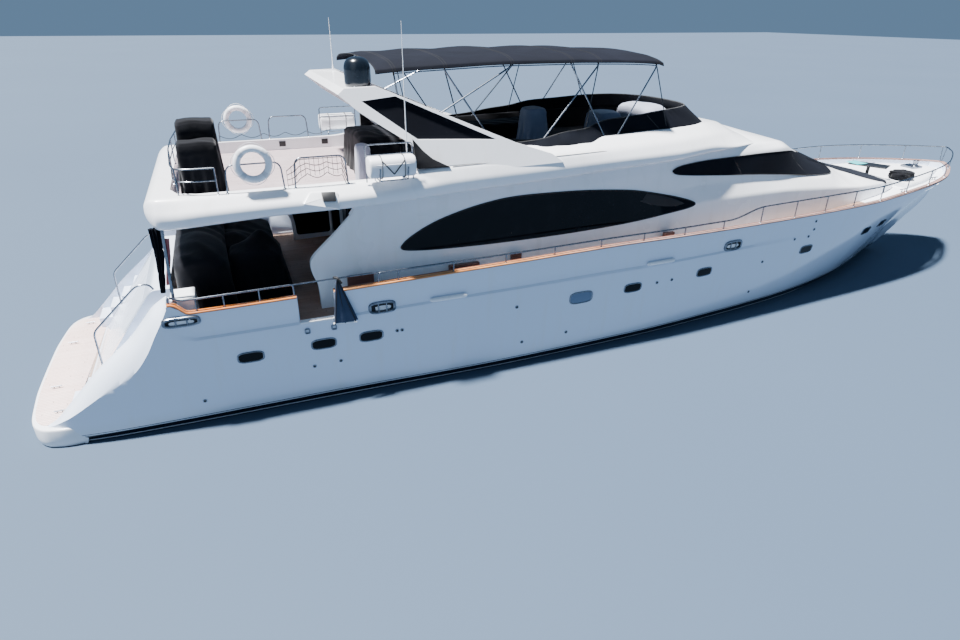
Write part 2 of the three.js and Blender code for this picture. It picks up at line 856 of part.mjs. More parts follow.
// Arch: side frames leaning in, joined by a beam
/** An outline in X and Z, of a thickness either side of the plane in which the arch's side leans in. */
const leaning = (outline, half, side) =>
  solid(
    extruded(shapeOf(outline), 2 * half)
      .rotateX(Math.PI / 2)
      .translate(0, half, 0)
      .applyMatrix4(
        new THREE.Matrix4().makeShear(0, 0, 0, 0, 0, -side * LEAN.rate),
      )
      .translate(0, side * (LEAN.y + LEAN.z * LEAN.rate), 0),
  );
const ARCH_SIDE = [
  [-3300, 5120],
  [-3600, 5330],
  [-4470, 5610],
  [-7600, 6900],
  [-8280, 6880],
  [-8420, 6770],
  [-8000, 6400],
  [-7080, 5800],
  [-6400, 5230],
  [-6350, 5060],
];
const ARCH_PANEL = [
  [-7950, 6630],
  [-7220, 6700],
  [-4980, 5720],
  [-6820, 5820],
];
const ARCH_BEAM = [
  [-8420, 6770],
  [-8280, 6880],
  [-7600, 6870],
  [-7480, 6790],
  [-8250, 6690],
];
let arch = prismXZ(ARCH_BEAM, -2400, 2400);
for (const side of Object.values(SIDES))
  arch = arch
    .add(leaning(ARCH_SIDE, 70, side))
    .subtract(leaning(ARCH_PANEL, 200, side));
arch = seatedOn(arch, fly);
add("flybridge", "radar_arch", "gelcoat", arch);
for (const [name, side] of Object.entries(SIDES))
  add(
    "flybridge",
    "arch_panel_" + name,
    "panel",
    leaning(inset(ARCH_PANEL, GAP), 15, side),
  );
add(
  "flybridge",
  "satellite_dome",
  "dome",
  seatedOn(
    turned(
      [
        [0, 0],
        [240, 0],
        [240, 85],
        [272, 110],
        [280, 160],
        [280, 400],
        [255, 520],
        [190, 600],
        [100, 634],
        [0, 640],
      ],
      24,
      [DOME.x, DOME.y, DOME.foot],
    ),
    arch,
  ),
  [DOME.x, DOME.y, DOME.foot],
);

// Flybridge windscreen, under its cover: port half from its aft end to the centreline
// x, rise, lean in, rake aft
const FLY_SCREEN = [
  [-4450, 60, 20, 0],
  [-3600, 150, 60, 20],
  [-2000, 260, 110, 60],
  [-800, 370, 170, 130],
  [400, 430, 220, 240],
  [1300, 450, 230, 400],
];
const screenRing = (x, y, z, topX, topY, topZ, thick = 20) => {
  const out = Math.hypot(y, 600) || 1;
  return [
    [x, y, z - 5],
    [x + (thick * 600) / out, y + (thick * y) / out, z - 5],
    [topX + (thick * 600) / out, topY + (thick * y) / out, topZ],
    [topX, topY, topZ],
  ];
};
const screenHalf = (side) => [
  ...FLY_SCREEN.map(([x, rise, lean, rake]) => {
    const y = at(FLY, x, 7) - 76,
      z = at(FLY, x, 8);
    return screenRing(x, side * y, z, x - rake, side * (y - lean), z + rise);
  }),
  screenRing(1960, side * 1330, 5575, 1420, side * 1130, 6030),
  screenRing(2200, side * 700, 5570, 1580, side * 600, 6030),
];
add(
  "flybridge",
  "flybridge_windscreen",
  "mesh",
  seatedOn(
    loft([...screenHalf(-1), screenRing(2260, 0, 5570, 1620, 0, 6030), ...screenHalf(1).reverse()]),
    fly,
  ),
);

// Covered furniture: x, y and z ranges, how far each top edge is drawn in, and the finish
const COVERS = {
  helm_cover: [[150, 1200], [-1150, 650], [5010, 6020], 160, "greyCover"],
  bar_cover: [[-7900, -6700], [-1500, 900], [4700, 5700], 120, "cover"],
  aft_cover: [[-11690, -10820], [-2550, -1550], [4700, 6200], 90, "cover"],
  helm_chair_cover: [[-3300, -2500], [-800, 50], [4900, 6080], 130, "greyCover"],
  lounge_cover_starboard: [[-5900, -3000], [-2120, -1100], [4900, 5480], 60, "cover"],
  lounge_cover_port: [[-5900, -1500], [1100, 2120], [4900, 5480], 60, "cover"],
  cockpit_cover: [[-12050, -9950], [-2150, 1500], [2100, 3560], 260, "cover"],
  foredeck_bag: [[10950, 11650], [-1500, -800], [3000, 3420], 90, "cover"],
};
let bag; // added once the foredeck that it lies on is made
for (const [name, [[x0, x1], [y0, y1], [z0, z1], draw, finish]] of Object.entries(COVERS)) {
  const level = (z, d) => [
    [x0 + d, y0 + d, z],
    [x1 - d, y0 + d, z],
    [x1 - d, y1 - d, z],
    [x0 + d, y1 - d, z],
  ];
  const body = loft([level(z0, 0), level(z1 - draw, draw * 0.25), level(z1, draw)]);
  if (name === "foredeck_bag") bag = body;
  else
    add(
      name === "cockpit_cover" ? "deck" : "flybridge",
      name,
      finish,
      name === "cockpit_cover" ? body.subtract(deckStack) : seatedOn(body, fly),
    );
}

// Rails and raft cradles on the flybridge's coaming
// x0, x1, topZ of each hoop of rail
const HOOPS = [
  [-10830, -9730, 5600],
  [-9520, -8440, 5650],
];
const CRADLE_XS = [-7860, -7260];
const flyRail = (side) => {
  const y = side * 2930;
  const hoops = HOOPS.map(([x0, x1, z]) =>
    tube(
      [
        [x0, y, 5000],
        [x0 + 30, y, z - 90],
        [x0 + 110, y, z],
        [x1 - 110, y, z],
        [x1 - 30, y, z - 90],
        [x1, y, 5000],
      ],
      RAIL,
    ),
  );
  const cradles = CRADLE_XS.map((x) =>
    tube(
      [
        [x, side * 2900, 5000],
        [x, side * 2960, RAFT.cradleZ],
        [x, side * 3380, RAFT.cradleZ],
        [x, side * 3450, 5420],
      ],
      RAIL,
    ),
  );
  const ties = [
    tube([[HOOPS[0][1] - 15, y, 5140], [HOOPS[1][0] + 15, y, 5140]], 12),
    tube([[HOOPS[1][1] - 15, y, 5150], [CRADLE_XS[0], side * 2960, 5150]], 12),
    tube([[CRADLE_XS[0], side * 2960, 5150], [CRADLE_XS[1], side * 2960, 5150]], 12),
  ];
  return seatedOn(union([...hoops, ...cradles, ...ties]), fly);
};
for (const [name, side] of Object.entries(SIDES)) {
  add("flybridge", "flybridge_rail_" + name, "stainless", flyRail(side));
  add(
    "flybridge",
    "liferaft_" + name,
    "plastic",
    turned(
      [
        [0, -RAFT.half],
        [RAFT.r * 0.8, -RAFT.half],
        [RAFT.r, -RAFT.half + 60],
        [RAFT.r, RAFT.half - 60],
        [RAFT.r * 0.8, RAFT.half],
        [0, RAFT.half],
      ],
      20,
    )
      .rotate([0, 90, 0])
      .translate([RAFT.x, side * RAFT.y, RAFT.cradleZ + RAFT.r + RAFT.rest]),
    [RAFT.x, side * RAFT.y, RAFT.cradleZ + RAFT.r + RAFT.rest],
    [0, Math.PI / 2, 0],
  );
  const ring = [RING.x, side * (2930 + RING.off), RING.z];
  add(
    "flybridge",
    "life_ring_" + name,
    "plastic",
    solid(
      new THREE.TorusGeometry(RING.r, RING.tube, 10, 24)
        .rotateX(Math.PI / 2)
        .translate(...ring),
    ),
    ring,
    [Math.PI / 2, 0, 0],
  );
}
// The rail round the flybridge's aft end, with its posts
const AFT_RAIL = [
  [-11000, 2930],
  [-11520, 2900],
  [-11720, 2780],
  [-11800, 2400],
  [-11900, 600],
];
const aftPath = (z) => [
  ...AFT_RAIL.map(([x, y]) => [x, -y, z]),
  ...[...AFT_RAIL].reverse().map(([x, y]) => [x, y, z]),
];
const AFT_POSTS = [
  [-11000, 2930],
  [-11720, 2780],
  [-11850, 1500],
  [-11900, 600],
];
add(
  "flybridge",
  "flybridge_rail_aft",
  "stainless",
  seatedOn(
    union([
      tube(aftPath(5570), RAIL),
      tube(aftPath(5330), 12),
      ...AFT_POSTS.flatMap(([x, y]) =>
        [-y, y].map((v) => tube([[x, v, 4700], [x, v, 5570]], RAIL)),
      ),
    ]),
    fly,
  ),
);

// Bimini: canvas on bows
// x, skirtZ, edgeZ, shoulderZ, crownZ of the canvas
const CANVAS = [
  [-7550, 7120, 7200, 7330, 7390],
  [-7150, 7150, 7230, 7370, 7430],
  [-6000, 7200, 7280, 7420, 7480],
  [-4400, 7250, 7325, 7460, 7515],
  [-2850, 7250, 7325, 7460, 7515],
  [-2100, 7240, 7310, 7450, 7505],
  [-420, 7170, 7240, 7370, 7430],
  [-280, 7130, 7200, 7330, 7390],
];
const canvasLine = (x, lower = 0) => [
  [CANVAS_Y.skirt - lower, at(CANVAS, x, 1)],
  [CANVAS_Y.edge - lower, at(CANVAS, x, 2) - lower],
  [CANVAS_Y.shoulder, at(CANVAS, x, 3) - lower],
  [0, at(CANVAS, x, 4) - lower],
];
const canvas = loft(
  CANVAS.map(([x]) => {
    const [inner, outer] = [canvasLine(x, CLOTH), canvasLine(x)];
    const half = [...inner.reverse(), ...outer];
    return [
      ...half.map(([y, z]) => [x, y, z]),
      ...half.filter(([y]) => y > 0).reverse().map(([y, z]) => [x, -y, z]),
    ];
  }),
);
add("bimini", "bimini_canvas", "canvas", canvas);
// x of each bow's top, x and z of its foot, and whether it stands on the arch
const BOWS = [
  [-7150, -7150, 6695, true],
  [-6000, -4700, 5300, false],
  [-4400, -6250, 6310, true],
  [-2850, -1720, 5300, false],
  [-2100, -3810, 5300, false],
  [-420, -1640, 5300, false],
];
const bows = BOWS.map(([topX, footX, footZ, onArch]) => {
  const under = canvasLine(topX, CLOTH).map(([y, z]) => [y, z - BOW.radius + BOW.press]);
  const footY = onArch
    ? LEAN.y - (footZ - LEAN.z) * LEAN.rate
    : at(FLY, footX, 7) - 6;
  const half = (side) => [
    [footX, side * footY, footZ],
    [topX, side * (under[0][0] - 60), under[0][1] - 20],
    [topX, side * (under[1][0] - 70), under[1][1] + 12],
    [topX, side * under[2][0], under[2][1]],
  ];
  return tube([...half(-1), [topX, 0, under[3][1]], ...half(1).reverse()], BOW.radius);
});
const stringers = Object.values(SIDES).map((side) =>
  tube(
    BOWS.map(([x]) => x)
      .sort((a, b) => a - b)
      .map((x) => [x, side * (CANVAS_Y.skirt - CLOTH - 60), at(CANVAS, x, 1) - 31]),
    12,
  ),
);
add(
  "bimini",
  "bimini_frame",
  "stainless",
  seatedOn(seatedOn(union([...bows, ...stringers]).subtract(canvas.translate([0, 0, -GAP])), fly), arch),
);

// Rail from abaft amidships round the bow: low on the bulwark, then high on the foredeck
// x, topZ
const BOW_RAIL = [
  [-8000, 3100],
  [-5000, 3130],
  [-1000, 3190],
  [1900, 3190],
  [3200, 3440],
  [5000, 3440],
  [8000, 3450],
  [9500, 3540],
  [11000, 3640],
  [12500, 3690],
  [13900, 3720],
  [14700, 3740],
];
const POSTS = [-7900, -6600, -5300, -4000, -2700, -1400, -100, 1200, 3300, 5200, 7200, 9200, 11000, 12700, 14100];
const railY = (x) => at(HULL, x, TOP_Y) - BULWARK / 2;
const railHalf = (side) => BOW_RAIL.map(([x, z]) => [x, side * railY(x), z]);
const footZ = (x) => at(HULL, x, TOP_Z) + CAP.thick - 10;
add(
  "deck",
  "bow_rail",
  "stainless",
  seatedOn(union([
    tube([...railHalf(-1), [PULPIT.x, 0, PULPIT.z], ...railHalf(1).reverse()], RAIL),
    ...[-1, 1].map((side) =>
      tube(
        [
          [15000, side * 80, footZ(15000)],
          [PULPIT.x, 0, PULPIT.z],
        ],
        13,
      ),
    ),
    ...POSTS.flatMap((x) =>
      [-1, 1].map((side) =>
        tube(
          [
            [x, side * railY(x), footZ(x)],
            [x, side * railY(x), at(BOW_RAIL, x, 1)],
          ],
          13,
        ),
      ),
    ),
  ]), capForward),
);

// Rail over the cockpit's bulwark, down to the cap before the gate opening
const COCKPIT_RAIL = [
  [-12290, 3250, 2900],
  [-12280, 3250, 3180],
  [-12100, 3280, 3080],
  [-11790, 3280, 3070],
  [-9890, 3280, 3095],
  [-9860, 3280, 3065],
  [-9860, 3280, 2800],
];
const COCKPIT_POSTS = [-11790, -11260, -10560];
for (const [name, side] of Object.entries(SIDES)) {
  const rail = union([
    tube(COCKPIT_RAIL.map(([x, y, z]) => [x, side * y, z]), RAIL),
    ...COCKPIT_POSTS.map((x) =>
      tube([[x, side * 3280, 2800], [x, side * 3280, 3080]], 13),
    ),
  ]);
  add(
    "deck",
    "cockpit_rail_" + name,
    "stainless",
    seatedOn(seatedOn(rail, hull), union([capForward, ...Object.values(capsAft)])),
  );
}

// Foredeck
// x, halfY, topZ of the raised moulding
const FOREDECK = [
  [10900, 1750, 3090],
  [12300, 1400, 3110],
  [13600, 760, 3110],
  [14300, 400, 3090],
];
const foredeck = loft(
  FOREDECK.map(([x, y, z]) =>
    acrossRing(x, [
      [0, 2500],
      [y, 2500],
      [y - 40, z - 40],
      [y - 120, z],
      [0, z],
    ]),
  ),
).subtract(deckStack);
add("deck", "foredeck_moulding", "gelcoat", foredeck);
add("deck", "foredeck_bag", "cover", seatedOn(bag, foredeck));
const table = seatedOn(
  union([
    box([-TABLE.half[0], TABLE.half[0]], [-TABLE.half[1], TABLE.half[1]], [0, 36]),
    turned(
      [
        [0, -600],
        [55, -600],
        [55, 10],
        [0, 10],
      ],
      16,
    ),
  ])
    .rotate([0, 0, THREE.MathUtils.radToDeg(TABLE.turn)])
    .translate([TABLE.x, TABLE.y, TABLE.z]),
  houseOuter,
);
add("deck", "foredeck_table", "panel", table, [TABLE.x, TABLE.y, TABLE.z], [0, 0, TABLE.turn]);
add(
  "deck",
  "windlass",
  "stainless",
  seatedOn(
    union([
      box([13150, 13650], [-260, 260], [3050, 3200]),
      turned(
        [
          [0, 3190],
          [110, 3190],
          [80, 3280],
          [110, 3400],
          [0, 3400],
        ],
        16,
        [13400, -130, 0],
      ),
    ]),
    foredeck,
  ),
);

// Underwater gear
const shaftTilt = Math.atan2(
  SHAFT.fore[1] - SHAFT.aft[1],
  SHAFT.fore[0] - SHAFT.aft[0],
);
const tiltDegrees = THREE.MathUtils.radToDeg(shaftTilt);
/** A body whose own +Z is turned aft along the shaft, its origin at the bracket's aft face. */
const onShaft = (body, side) =>
  body
    .rotate([0, -90 - tiltDegrees, 0])
    .translate([SHAFT.aft[0], side * SHAFT.y, SHAFT.aft[1]]);
const barrel = turned(
  [
    [0, -420],
    [70, -420],
    [85, -380],
    [85, 0],
    [0, 0],
  ],
  16,
);
// radius, chord, pitch angle in degrees, thickness
const BLADE = [
  [60, 190, 62, 30],
  [180, 280, 48, 22],
  [340, 320, 34, 14],
  [450, 250, 28, 9],
  [495, 120, 26, 5],
];
const blade = loft(
  BLADE.map(([r, chord, pitch, thick]) => {
    const a = THREE.MathUtils.degToRad(pitch);
    const [c, s] = [Math.cos(a), Math.sin(a)];
    return [
      [r, (c * chord) / 2, (s * chord) / 2 + 130],
      [r, (-s * thick) / 2, (c * thick) / 2 + 130],
      [r, (-c * chord) / 2, (-s * chord) / 2 + 130],
      [r, (s * thick) / 2, (-c * thick) / 2 + 130],
    ];
  }),
);
const hub = turned(
  [
    [0, 0.6],
    [78, 0.6],
    [95, 60],
    [88, 220],
    [40, 300],
    [0, 320],
  ],
  16,
);
const propeller = union([
  hub,
  ...[0, 1, 2, 3].map((i) => blade.rotate([0, 0, i * 90])),
]);
for (const [name, side] of Object.entries(SIDES)) {
  const shaft = tube(
    [
      [SHAFT.fore[0], side * SHAFT.y, SHAFT.fore[1]],
      [SHAFT.aft[0] + 30, side * SHAFT.y, SHAFT.aft[1] + 30 * Math.tan(shaftTilt)],
    ],
    SHAFT.radius,
    12,
  );
  const strut = prismXZ(
    [
      [-11720, -1370],
      [-11380, -1330],
      [-11250, -500],
      [-11600, -500],
    ],
    -22,
    22,
  ).translate([0, side * SHAFT.y, 0]);
  add(
    "underwater",
    "shaft_bracket_" + name,
    "bronze",
    hungFrom(union([shaft, onShaft(barrel, side), strut]), hullShell),
  );
  add(
    "underwater",
    "propeller_" + name,
    "bronze",
    onShaft(side < 0 ? propeller.mirror([0, 1, 0]) : propeller, side),
    [SHAFT.aft[0], side * SHAFT.y, SHAFT.aft[1]],
    [0, -Math.PI / 2 - shaftTilt, 0],
  );
  add(
    "underwater",
    "rudder_" + name,
    "antifouling",
    union([
      solid(
        new THREE.CylinderGeometry(RUDDER.stock, RUDDER.stock, 400, 24)
          .rotateX(Math.PI / 2)
          .translate(0, 0, RUDDER.top - 200),
      ),
      prismXY(
        [
          [230, 0],
          [150, 46],
          [-60, 52],
          [-480, 12],
          [-480, -12],
          [-60, -52],
          [150, -46],
        ],
        -1780,
        -840,
      ),
    ]).translate([RUDDER.x, side * RUDDER.y, 0]),
    [RUDDER.x, side * RUDDER.y, RUDDER.top],
  );
}

add(
  "flybridge",
  "aerial",
  "plastic",
  seatedOn(
    turned(
      [
        [0, 0],
        [30, 0],
        [30, 1000],
        [12, 1060],
        [7, 3150],
        [0, 3150],
      ],
      8,
      AERIAL,
    ),
    fly,
  ),
  AERIAL,
);

export default yacht;
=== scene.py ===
"""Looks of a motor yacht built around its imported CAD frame.

Metres: +X is the bow, +Y port, +Z up, and the origin lies on the centreline at the waterline.
"""

import logging
import math
from dataclasses import dataclass
from enum import Enum
from typing import Callable, Optional, Sequence

import bpy
import numpy as np
from mathutils import Matrix, Vector


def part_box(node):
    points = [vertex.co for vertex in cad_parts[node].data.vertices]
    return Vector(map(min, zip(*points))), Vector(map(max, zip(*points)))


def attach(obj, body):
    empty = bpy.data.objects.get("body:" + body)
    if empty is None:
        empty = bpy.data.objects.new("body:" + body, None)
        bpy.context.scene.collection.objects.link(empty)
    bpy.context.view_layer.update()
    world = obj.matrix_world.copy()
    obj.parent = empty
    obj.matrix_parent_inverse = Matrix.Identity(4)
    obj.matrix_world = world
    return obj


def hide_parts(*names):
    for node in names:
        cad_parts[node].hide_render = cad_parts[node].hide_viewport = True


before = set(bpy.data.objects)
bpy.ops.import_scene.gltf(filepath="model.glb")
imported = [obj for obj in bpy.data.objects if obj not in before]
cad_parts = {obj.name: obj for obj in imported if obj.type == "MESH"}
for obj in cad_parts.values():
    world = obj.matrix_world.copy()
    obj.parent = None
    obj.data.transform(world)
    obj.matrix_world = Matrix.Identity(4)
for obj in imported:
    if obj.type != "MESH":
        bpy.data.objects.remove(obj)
LOG = logging.getLogger("yacht")
SIDES = {"starboard": -1.0, "port": 1.0}
Array = np.ndarray
Colour = tuple[float, float, float]
Spot = tuple[float, float]
Point = tuple[float, float, float]


# Curves and grids


def monotone(xs: Array, ys: Array, q: Array) -> Array:
    """Reads a smooth curve through samples that never overshoots them.

    A cubic runs between each two samples, and its slope at a sample is the weighted harmonic mean of the
    slopes on both sides, or zero where these have different signs.

    Args:
        xs: rising sample places. ys: values, the last axis along xs. q: places to read.
    Returns: the values at q, on the last axis.
    """
    xs, ys = np.asarray(xs, float), np.asarray(ys, float)
    q = np.clip(np.asarray(q, float), xs[0], xs[-1])
    h = np.diff(xs)
    d = np.diff(ys, axis=-1) / h
    slope = np.zeros_like(ys)
    slope[..., 0], slope[..., -1] = d[..., 0], d[..., -1]
    if len(xs) > 2:
        w1, w2 = 2 * h[1:] + h[:-1], h[1:] + 2 * h[:-1]
        a, b = d[..., :-1], d[..., 1:]
        same = a * b > 0
        a, b = np.where(same, a, 1), np.where(same, b, 1)
        slope[..., 1:-1] = np.where(same, (w1 + w2) / (w1 / a + w2 / b), 0)
    i = np.clip(np.searchsorted(xs, q, side="right") - 1, 0, len(xs) - 2)
    t = (q - xs[i]) / h[i]
    y0, y1 = ys[..., i], ys[..., i + 1]
    m0, m1 = slope[..., i] * h[i], slope[..., i + 1] * h[i]
    return (
        y0 * (2 * t**3 - 3 * t**2 + 1)
        + m0 * (t**3 - 2 * t**2 + t)
        + y1 * (3 * t**2 - 2 * t**3)
        + m1 * (t**3 - t**2)
    )


class Table:
    """Stations in millimetres, read in metres at any place along X."""

    def __init__(self, columns: str, rows: str) -> None:
        """Args: columns: names, the first is X. rows: one line of numbers for each station."""
        data = np.array([row.split() for row in rows.strip().splitlines()], float) / 1000
        data = data[np.argsort(data[:, 0])]
        self.x = data[:, 0]
        self.columns = dict(zip(columns.split()[1:], data.T[1:]))

    def __call__(self, name: str, x: Array) -> Array:
        """The named column at x, in metres."""
        return monotone(self.x, self.columns[name], x)

    def at(self, name: str, x: float) -> float:
        """The named column at one place, in metres."""
        return float(self(name, np.array(x)))

    def straight(self, name: str, x: Array) -> Array:
        """The named column at x by straight lines between stations."""
        return np.interp(x, self.x, self.columns[name])

    def breadth(self, names: Sequence[str], x: Array, z: Array, low: Optional[float] = None) -> Array:
        """Half breadth at places given by X and Z, by straight pieces between named corners of the section.

        Args:
            names: corners from below, each with a Y and a Z column. x, z: places.
            low: height of baseY, below them.
        Returns: the breadths, in the shape of the places.
        """
        x, z = np.broadcast_arrays(np.asarray(x, float), np.asarray(z, float))
        flat = x.ravel()
        ys, zs = ([self(n + c, flat) for n in names] for c in "YZ")
        if low is not None:
            ys, zs = [self("baseY", flat), *ys], [np.full_like(flat, low), *zs]
        return read_across(np.stack(zs, 1), np.stack(ys, 1), z.ravel()).reshape(x.shape)


def smooth(lo: float, hi: float, q: Array) -> Array:
    """0 below lo, 1 above hi and an S between."""
    t = np.clip((q - lo) / (hi - lo), 0, 1)
    return t * t * (3 - 2 * t)


def unit(v: Array) -> Array:
    """Vectors on the last axis at length 1."""
    return v / np.maximum(np.linalg.norm(v, axis=-1, keepdims=True), 1e-12)


def stack(*parts: Array) -> Array:
    """Joins coordinates of any matching shapes on a new last axis."""
    return np.stack(np.broadcast_arrays(*parts), axis=-1).astype(float)


def soften(p: Array, radius: float, steps: int = 5, ring: bool = False) -> Array:
    """Rounds the corners of polylines that run on the last axis but one.

    Each corner is replaced by a parabola whose ends lie radius away along both legs, or halfway where a leg
    is short.

    Args:
        p: points. radius: in metres. steps: points on each corner. ring: the line closes on itself.
    Returns: the points with rounded corners.
    """
    if ring:
        before, here, after = np.roll(p, 1, -2), p, np.roll(p, -1, -2)
    else:
        before, here, after = p[..., :-2, :], p[..., 1:-1, :], p[..., 2:, :]

    def leg(other: Array) -> Array:
        """The end of the rounding on the way to a neighbour."""
        length = np.linalg.norm(other - here, axis=-1, keepdims=True)
        return here + (other - here) * np.minimum(radius / np.maximum(length, 1e-9), 0.5)

    a, b = leg(before)[..., None, :], leg(after)[..., None, :]
    t = np.linspace(0, 1, steps)[:, None]
    arc = (1 - t) ** 2 * a + 2 * t * (1 - t) * here[..., None, :] + t**2 * b
    arc = arc.reshape(*p.shape[:-2], -1, p.shape[-1])
    return arc if ring else np.concatenate([p[..., :1, :], arc, p[..., -1:, :]], axis=-2)


def distance(p: Array) -> Array:
    """Length along a polyline at each of its points."""
    return np.concatenate([[0], np.cumsum(np.linalg.norm(np.diff(p, axis=0), axis=1))])


def resample(p: Array, count: int, curved: bool = False) -> Array:
    """Even places along a polyline, or along a smooth curve through its points.

    Args:
        p: points. count: how many places. curved: follow the smooth curve.
    Returns: the points.
    """
    s = distance(p)
    q = np.linspace(0, s[-1], count)
    if curved:
        return monotone(s, p.T, q).T
    return np.stack([np.interp(q, s, c) for c in p.T], axis=1)


def loop_curve(p: Array, steps: int = 12) -> Array:
    """A closed smooth curve of cubics; an end's slope is half the step between its neighbours.

    Args:
        p: points it passes through. steps: points on each span.
    Returns: the curve's points.
    """
    a, b, c, d = (np.roll(p, k, 0)[:, None, :] for k in (1, 0, -1, -2))
    t = np.linspace(0, 1, steps, endpoint=False)[None, :, None]
    q = b + 0.5 * t * (c - a + t * (2 * a - 5 * b + 4 * c - d + t * (3 * (b - c) + d - a)))
    return q.reshape(-1, p.shape[1])


def waves(seed: int, s: Array, count: int, lowest: float, highest: float) -> Array:
    """Unrepeating waviness between about -1 and 1: a sum of sines of seeded wave numbers and phases.

    Args:
        seed: of the draws. s: where it is read. count: how many sines. lowest, highest: their wave numbers.
    Returns: the waviness at s.
    """
    rng = np.random.default_rng(seed)
    k = rng.uniform(lowest, highest, count)
    phase = rng.uniform(0, 2 * math.pi, count)
    total = sum(np.sin(s * a + b) for a, b in zip(k, phase))
    return total / math.sqrt(count)


class Axis(Enum):
    """The axis that a shape is turned about or carried along."""

    X = 0
    Y = 1
    Z = 2

    def place(self, along: Array, a: Array, b: Array) -> Array:
        """Points from values along the axis and values of the other two, in X, Y, Z order."""
        parts = [a, b]
        parts.insert(self.value, along)
        return stack(*parts)


def quads(p: Array, ring: bool = True, closed: bool = False) -> Array:
    """The faces of a grid of points.

    Args:
        p: the grid. ring: join each row's ends. closed: join the last row and the first.
    Returns: four point numbers for each face.
    """
    i = np.arange(p.shape[0] * p.shape[1]).reshape(p.shape[:2])
    if closed:
        i = np.concatenate([i, i[:1]])
    if ring:
        i = np.concatenate([i, i[:, :1]], axis=1)
    return np.stack([i[:-1, :-1], i[:-1, 1:], i[1:, 1:], i[1:, :-1]], -1).reshape(-1, 4)


def circle(count: int, radius: float = 1.0) -> Array:
    """A circle's outline."""
    turn = np.linspace(0, 2 * math.pi, count, endpoint=False)
    return radius * np.stack([np.cos(turn), np.sin(turn)], 1)


def strip(half: float, low: float, high: float) -> Array:
    """A flat bar's section: its half width, and from low to high."""
    return np.array([[-half, low], [half, low], [half, high], [-half, high]])


def mirror(p: Array) -> Array:
    """The same points on the other side of the boat."""
    return p * np.array([1, -1, 1])


Lay = Callable[[Array, Array, float], Array]


def level(u: Array, v: Array, h: float) -> Array:
    """Lays an outline of X and Y level at a height."""
    return stack(u, v, h)


def on_side(breadth: Callable[[Array, Array], Array], side: float) -> Lay:
    """Lays outlines of X and Z on one side, at a height off its half breadth."""
    return lambda u, v, h: stack(u, side * (breadth(u, v) + h), v)


